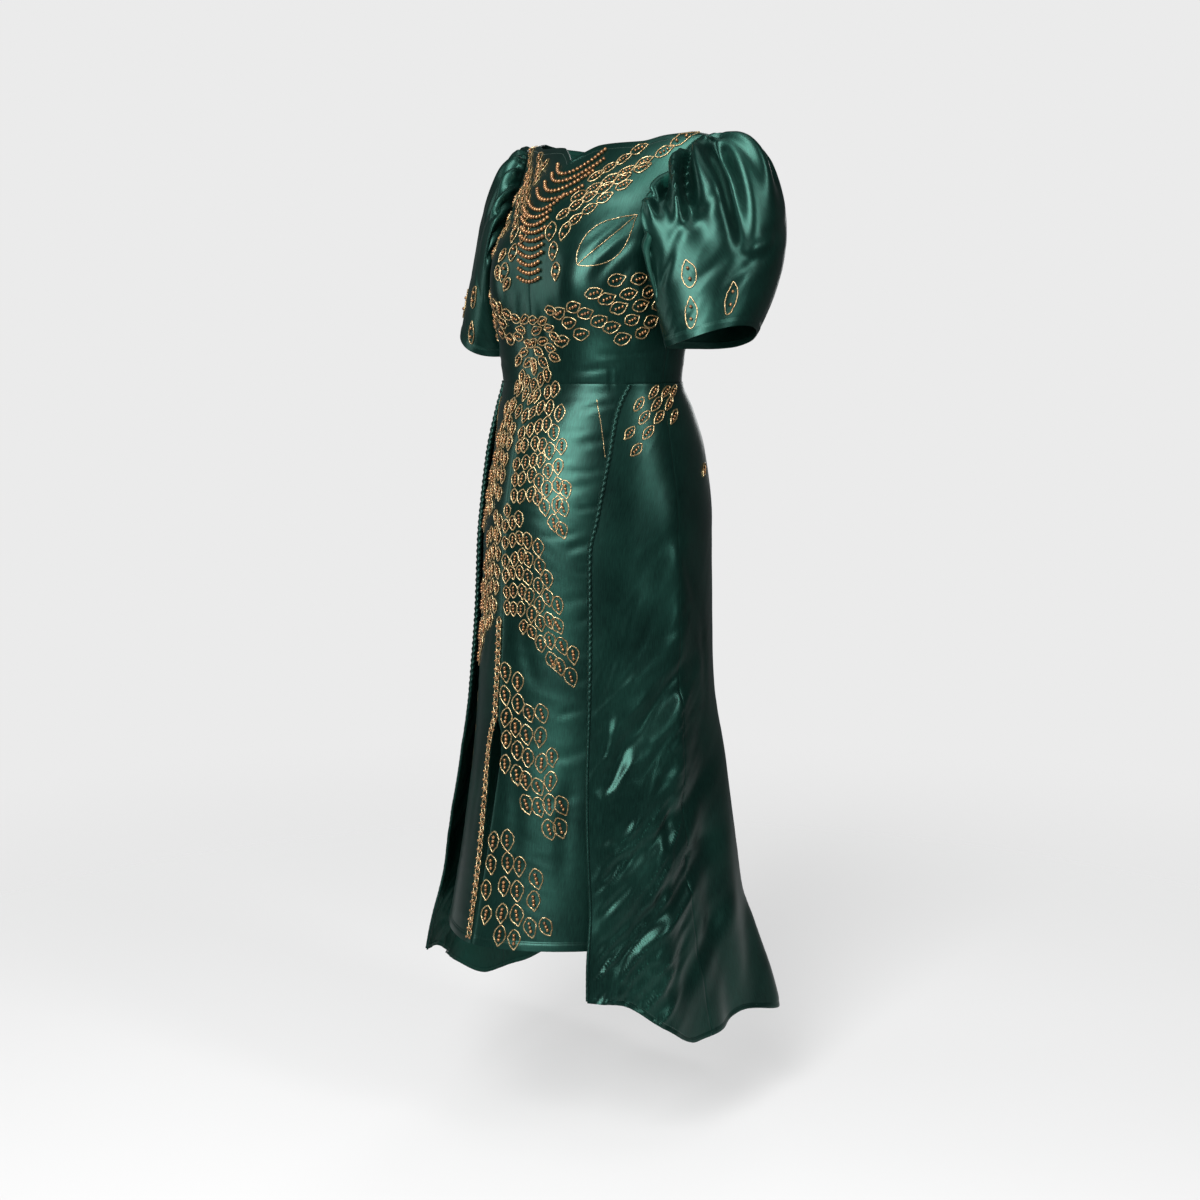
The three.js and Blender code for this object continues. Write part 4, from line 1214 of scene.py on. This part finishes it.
# %% Waist band
BAND = table(["across", "top", "bottom"], [
    [0, 247, 328], [25, 243, 312], [50, 232, 296], [90, 218, 276], [140, 187, 270], [205, 184, 264]])
BAND_STEP = (28.0, 18.5)
BAND_CENTRE = {"reach": 40, "step": (19.5, 14.5)}
BAND_REACH = 205
BAND_ROWS = 12
band = Beading(dress_point, dress_place)


def staggered(first, last, top, bottom, step):
    """Places in rows that follow a sloping top edge, every other row half a step along"""
    spots = []
    for row in range(BAND_ROWS):
        across = np.arange(first + (row % 2) * step[0] / 2, last, step[0])
        down = top(across) + row * step[1]
        inside = down < bottom(across)
        spots.append(np.stack([across[inside], down[inside]]))
    return np.concatenate(spots, axis=1)


for sign in (1, -1):
    across, down = staggered(BAND_CENTRE["reach"] + 12, BAND_REACH, lambda x: BAND(x)["top"] + 8,
                             lambda x: BAND(x)["bottom"], BAND_STEP)
    shift = rng.normal(0, 1.3, (2, len(across)))
    band.leaves(sign * (across + shift[0]), down + shift[1], sign * (104 + 0.05 * across),
                length=24, width_share=0.64)
    across, down = staggered(0 if sign > 0 else 13, BAND_CENTRE["reach"], lambda x: BAND(x)["top"] + 4,
                             lambda x: BAND(x)["bottom"], BAND_CENTRE["step"])
    shift = rng.normal(0, 1.6, (2, len(across)))
    turned = 95 - 75 * smooth(262, 322, down) + rng.normal(0, 16, len(down))
    band.leaves(sign * (across + shift[0]), down + shift[1], sign * turned, length=20.5)
band.finish("waist_band")

# %% [markdown]
# Below the waist four tiers of leaves cascade from the centre front, one under the other. In each, the
# columns start lower the further out they are, lean out a little more, and end on a slanted line, so
# the tier comes to a point at its outer end. Near the centre the leaves are packed tight, and further
# out they stand apart. Below the second tier the right side has only its edging.

# %% Cascading tiers
TIERS = [
    # start: where a column across begins. end: the drop at the centre and its fall for each mm across.
    # near and far: the spacing of columns and of rows at the centre and at the outer edge
    # long: the length of a leaf at the centre and at the outer edge
    {"start": [[0, 306], [36, 318], [46, 352], [66, 392], [82, 462], [98, 512]],
     "end": (496, 0.42), "out": 96,
     "near": (12.0, 21.5), "far": (17.0, 28.0), "long": (19.5, 27.0), "both": True},
    {"start": [[0, 498], [20, 506], [42, 528], [74, 586], [90, 642], [110, 700]],
     "end": (648, 0.9), "out": 108,
     "near": (12.0, 22.5), "far": (18.5, 30.5), "long": (20.0, 29.0), "both": True},
    {"start": [[0, 690], [20, 716], [40, 746], [74, 782], [92, 842], [110, 920]],
     "end": (868, 0.95), "out": 110,
     "near": (18.0, 31.0), "far": (20.0, 33.0), "long": (28.0, 30.0), "both": False},
    {"start": [[0, 932], [24, 940], [52, 958], [76, 984], [96, 1024], [118, 1066]],
     "end": (1096, 0.0), "out": 118,
     "near": (23.5, 33.0), "far": (24.5, 34.0), "long": (29.0, 30.0), "both": False},
]
EDGING_TOP = SLIT_TOP - 130
cascade = Beading(dress_point, dress_place)
for tier in TIERS:
    start = table(["across", "drop"], tier["start"])
    for sign in (1, -1) if tier["both"] else (1,):
        across, column = (0.0, 0) if tier["both"] and sign > 0 else (10.0, 1)
        while across < tier["out"]:
            share = across / tier["out"]
            wide, tall = (near + (far - near) * share for near, far in zip(tier["near"], tier["far"]))
            first = start(across)["drop"] + (tall / 2 if column % 2 else 0)
            long = tier["long"][0] + (tier["long"][1] - tier["long"][0]) * share
            down = np.arange(first + long / 2, tier["end"][0] + tier["end"][1] * across, tall)
            if len(down):
                spot = across + rng.normal(0, 1.5, len(down)) + 0.06 * (down - first)
                spot = np.maximum(spot, np.where(down < EDGING_TOP, 0, SLIT(down)["halfGap"] + 9))
                tilt = 2 + 18 * across / 100 + rng.normal(0, 6, len(down))
                cascade.leaves(sign * spot, down + rng.normal(0, 1.5, len(down)), sign * tilt, long)
            across += wide
            column += 1
cascade.finish("cascade")

# %% [markdown]
# A close row of small leaves edges the right side of the slit, and single lines of bugles run beside
# the overskirt's open edges.

# %% Slit edging and stems
edging = Beading(dress_point, dress_place)
down = np.arange(EDGING_TOP, SHEATH_HEM - 12, 12.0)
edging.leaves(-(SLIT(down)["halfGap"] + 5.5), down, tilt=0, length=15, steps=9, inside=2)
edging.beads(-(SLIT(down)["halfGap"] + 2.2), down + 6, 2.0)
edging.beads(-(SLIT(down)["halfGap"] + 10.0), down + 6, 2.0)
STEMS = [((103, 356), (131, 434), 20), ((131, 780), (160, 1040), 58)]
for sign in (1, -1):
    for start, end, count in STEMS:
        share = np.linspace(0, 1, count)
        across = start[0] + (end[0] - start[0]) * share + 2 * np.sin(3 * share)
        down = start[1] + (end[1] - start[1]) * share
        edging.line(sign * across, down, fill=0.8, radius=0.6)
edging.finish("slit_edging")

# %% [markdown]
# A small spray of leaves sits on each hip, on the overskirt, and one single leaf lies further back.

# %% Hip sprays on the overskirt
HIP_ROWS = [(347, [186, 208, 226]), (363, [168, 196, 220]), (381, [180, 204, 234]), (401, [163, 190]),
            (424, [176]), (458, [327])]
hip = Beading(overskirt_point, overskirt_place)
for sign in (1, -1):
    for drop, places in HIP_ROWS:
        hip.leaves(sign * np.array(places), np.full(len(places), drop), sign * -34, length=21.5)
hip.finish("hip_spray")

# %% [markdown]
# Three larger leaves stand point up above each sleeve's hem.

# %% Sleeve leaves
SLEEVE_LEAVES = {"left": [(224, 250), (218, 298), (292, 298)], "right": [(182, 246), (172, 298), (258, 290)]}


def sleeve_place(hand):
    def place(across, down):
        turn = across / SLEEVE_ROUND * 2 * math.pi
        return turn if hand == "left" else -turn, down / SLEEVE_LONG
    return place


for hand in HANDS:
    on_sleeve = Beading(sleeve_points[hand], sleeve_place(hand))
    across, down = np.array(SLEEVE_LEAVES[hand], float).T
    on_sleeve.leaves(across, down, tilt=180, length=38, steps=18, inside=2, base=1.1)
    on_sleeve.finish(f"sleeve_{hand}_leaves")

# %% [markdown]
# Sewing. A machine stitch is a short rod of thread, half sunk in the cloth, three times as long as the
# gap to the next one. The overskirt's front edge is rolled and whipped. Its upper half is twisted tight,
# so it has slanting grooves, and lower down it is a thinner, smoother roll.

# %% Stitches and the rolled edge
STITCH_PITCH = 3.6
STITCH_LONG = 2.7
STITCH_RADIUS = 0.28
STITCH_LIFT = 0.1
STITCH_INSIDE = 1.6  # how far from a hem's step its stitches run


def stitch_row(point, across, down):
    """Stitches at even steps along a line of places on the cloth"""
    line, _ = point(across, down)
    run = running_length(line, 0)
    marks = np.arange(STITCH_PITCH, run[-1], STITCH_PITCH)
    centre, normal = point(*[np.interp(marks, run, values) for values in (across, down)], STITCH_LIFT)
    ahead, _ = point(*[np.interp(marks + 0.5, run, values) for values in (across, down)], STITCH_LIFT)
    return copies(STITCH, centre, ahead - centre, normal, STITCH_RADIUS, STITCH_LONG)


ROLL_RADIUS = 3.2
ROLL_PITCH = 8.4  # how far the twist runs in one turn
ROLL_SIDES = 12
ROLL_LIFT = 0.8
ROLL_LOOSENS = (0.45, 0.62)  # the shares of its length where the twist starts to fade and is gone
GROOVE_DEPTH = {"loose": 0.04, "twisted": 0.2}  # shares of the radius


def rolled_edge(name, point, across, down):
    """A cord-like roll along a line of places, with slanting grooves"""
    line, normal = point(across, down, ROLL_LIFT)
    run = running_length(line, 0)
    ahead = unit(np.gradient(line, axis=0))
    side = np.cross(ahead, normal)
    turn = np.arange(ROLL_SIDES) * 2 * math.pi / ROLL_SIDES
    tight = (1 - smooth(*ROLL_LOOSENS, run / run[-1]))[:, None]
    deep = GROOVE_DEPTH["loose"] + GROOVE_DEPTH["twisted"] * tight
    groove = 1 + deep * np.cos(2 * turn[None, :] - 2 * math.pi * run[:, None] / ROLL_PITCH)
    ring = ROLL_RADIUS * (0.7 + 0.3 * tight) * groove
    points = (line[:, None, :] + (ring * np.cos(turn))[..., None] * normal[:, None, :]
              + (ring * np.sin(turn))[..., None] * side[:, None, :])
    rows = len(line)
    index = np.arange(rows * ROLL_SIDES).reshape(rows, ROLL_SIDES)
    index = np.concatenate([index, index[:, :1]], axis=1)
    a, b, c, d = index[:-1, :-1], index[:-1, 1:], index[1:, 1:], index[1:, :-1]
    faces = np.stack([a, b, c, d], axis=-1).reshape(-1, 4).tolist()
    faces += [index[0, -2::-1].tolist(), index[-1, :-1].tolist()]
    uv = np.stack([ring * turn, np.broadcast_to(-run[:, None], ring.shape)], axis=-1).reshape(-1, 2) * MM
    # The roll takes the darker satin, painted shade for its twisted cord.
    made = mesh_object(name, points.reshape(-1, 3), faces, satin_fold_painted_shade, uv, sharp=None)
    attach(made, "gown")
    return made


EDGE_STEP = 1.6
for hand, sign in HANDS.items():
    drop = np.arange(WAIST + 1.0, float(OVERSKIRT_HEM(0.5)["drop"]) - 1.5, EDGE_STEP)
    roll = rolled_edge(f"overskirt_roll_{hand}", overskirt_point, sign * overskirt_edge(drop), drop)
    for side, under, with_roll in (("side", "front", [roll]), ("back", "back", [])):
        sew_in(overskirt[side, hand], [f"overskirt_{side}_{hand}"])

# %% Stitch rows along the hems and neckline
rows = []
for hand, sign in HANDS.items():
    around = np.linspace(0.02, 0.995, 90)
    hem = np.full(around.shape, SHEATH_HEM - HEM_WIDE + STITCH_INSIDE)
    rows.append(stitch_row(dress_point, sign * around, hem))
    share = np.linspace(0.55, 1.99, 140)
    hem = OVERSKIRT_HEM(share)["drop"] - OVERSKIRT_HEM_WIDE + STITCH_INSIDE
    rows.append(stitch_row(overskirt_point, sign * share, hem))
    turn = sign * np.linspace(0.02, 2 * math.pi - 0.02, 160)
    hem = 1 - (SLEEVE_HEM_WIDE - STITCH_INSIDE) * share_of_mm(hand, turn)
    rows.append(stitch_row(sleeve_points[hand], turn, hem))
    share = np.linspace(0.01, 0.94, 60)
    for neck, place in ((FRONT_NECK, share), (BACK_NECK, 2 - share)):
        rows.append(stitch_row(dress_point, sign * place, neck(share)["drop"] + FACING_WIDE - STITCH_INSIDE))
stitches = joined("stitches", rows, thread_green)
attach(stitches, "gown")

# %% [markdown]
# The zip at the centre back is a concealed one: a nylon coil dyed green, which sits in the seam's groove.
# The slider and its pull are the solids themselves, in plated brass.

# %% Zip
ZIP_TOP = 26
ZIP_END = WAIST - 6
TOOTH_PITCH = 2.0
TOOTH_RADIUS = 0.55
TOOTH_LONG = 1.3
TOOTH_SUNK = 0.75
down = np.arange(ZIP_TOP, ZIP_END, TOOTH_PITCH)
parts = []
for offset in (-1, 1):
    centre, normal = dress_point(np.full(len(down), 2.0), down + offset * TOOTH_PITCH / 4, -TOOTH_SUNK)
    centre[:, 0] += offset * 0.5
    across = np.broadcast_to([1.0, 0.0, 0.0], centre.shape)
    parts.append(copies(STITCH, centre, across, normal, TOOTH_RADIUS, TOOTH_LONG))
coil = joined("zip_coil", parts, thread_green)
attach(coil, "gown")
for node_name in ("zip_slider", "zip_pull"):
    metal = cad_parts[node_name].data
    metal.materials.clear()
    metal.materials.append(zip_brass)

# %% [markdown]
# The studio: a pale floor that fades into a pale background, a large soft lamp in front and above,
# weaker ones on each side, overhead and behind, and a dim room for the satin to mirror as well.

# %% Floor and background
FLOOR_DROP = 1.4036
FLOOR_RADIUS = 6.0
PALE = "#ebebeb"
floor_mesh = bmesh.new()
bmesh.ops.create_circle(floor_mesh, cap_ends=True, segments=96, radius=FLOOR_RADIUS)
floor_data = bpy.data.meshes.new("floor")
floor_mesh.to_mesh(floor_data)
floor_mesh.free()
floor = bpy.data.objects.new("floor", floor_data)
floor.location.z = -FLOOR_DROP
bpy.context.scene.collection.objects.link(floor)
floor_paint, tree = new_material("floor_matt_paint")
place = add_node(tree, "ShaderNodeTexCoord").outputs["Object"]
distance = add_node(tree, "ShaderNodeVectorMath", {0: place}, operation="LENGTH")
fade = add_node(tree, "ShaderNodeMapRange", {
    "Value": distance.outputs["Value"], "From Min": 0.5, "From Max": 2.6, "To Min": 0.4},
    interpolation_type="SMOOTHSTEP")
matt = add_node(tree, "ShaderNodeBsdfPrincipled", {
    "Base Color": linear("#f0f0f0"), "Roughness": 0.9, "Emission Color": linear(PALE),
    "Emission Strength": 0.3})
clear = add_node(tree, "ShaderNodeBsdfTransparent")
blend = add_node(tree, "ShaderNodeMixShader", {
    0: fade.outputs["Result"], 1: matt.outputs["BSDF"], 2: clear.outputs["BSDF"]})
add_node(tree, "ShaderNodeOutputMaterial", {"Surface": blend.outputs["Shader"]})
floor_data.materials.append(floor_paint)
floor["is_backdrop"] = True

ROOM_LIGHT = 0.08
world = bpy.data.worlds.new("room")
world.use_nodes = True
bpy.context.scene.world = world
tree = world.node_tree
tree.nodes.clear()
seen = add_node(tree, "ShaderNodeLightPath").outputs["Is Camera Ray"]
room = add_node(tree, "ShaderNodeBackground", {"Color": linear("#e6e9ec"), "Strength": ROOM_LIGHT})
paper = add_node(tree, "ShaderNodeBackground", {"Color": linear(PALE), "Strength": 1.0})
both = add_node(tree, "ShaderNodeMixShader", {
    0: seen, 1: room.outputs["Background"], 2: paper.outputs["Background"]})
add_node(tree, "ShaderNodeOutputWorld", {"Surface": both.outputs["Shader"]})

# %% Lamps
LAMPS = [
    # name, azimuth and height angle in degrees, distance in metres, size in metres, watts
    ("key", 25, 31, 3.2, (1.2, 2.7), 112),
    ("left", -48, 14, 3.4, (1.2, 2.6), 22),
    ("right", 91, 27, 3.4, (0.6, 1.8), 27),
    ("top", 40, 80, 2.6, (1.4, 1.4), 9),
    ("back", 208, 22, 3.4, (1.2, 2.4), 16),
]
AIM = (0.0, 0.0, -0.6)
for name, azimuth, height, distance, size, watts in LAMPS:
    lamp = bpy.data.objects.new(name, bpy.data.lights.new(name, "AREA"))
    lamp.data.shape = "RECTANGLE"
    lamp.data.size, lamp.data.size_y = size
    lamp.data.energy = watts
    a, e = math.radians(azimuth), math.radians(height)
    back = np.array([math.sin(a) * math.cos(e), -math.cos(a) * math.cos(e), math.sin(e)])
    lamp.location = np.array(AIM) + back * distance
    lamp.rotation_mode = "QUATERNION"
    lamp.rotation_quaternion = Vector(-back).to_track_quat("-Z", "Y")
    bpy.context.scene.collection.objects.link(lamp)
bpy.context.scene.view_settings.view_transform = "Standard"
print("lamps:", len(LAMPS))

# %% [markdown]
# The last cell prints the box round every shown mesh but the floor.

# %% Sizes and the end
low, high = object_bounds()
print("visual box:", [round(x, 3) for x in (*low, *high)])
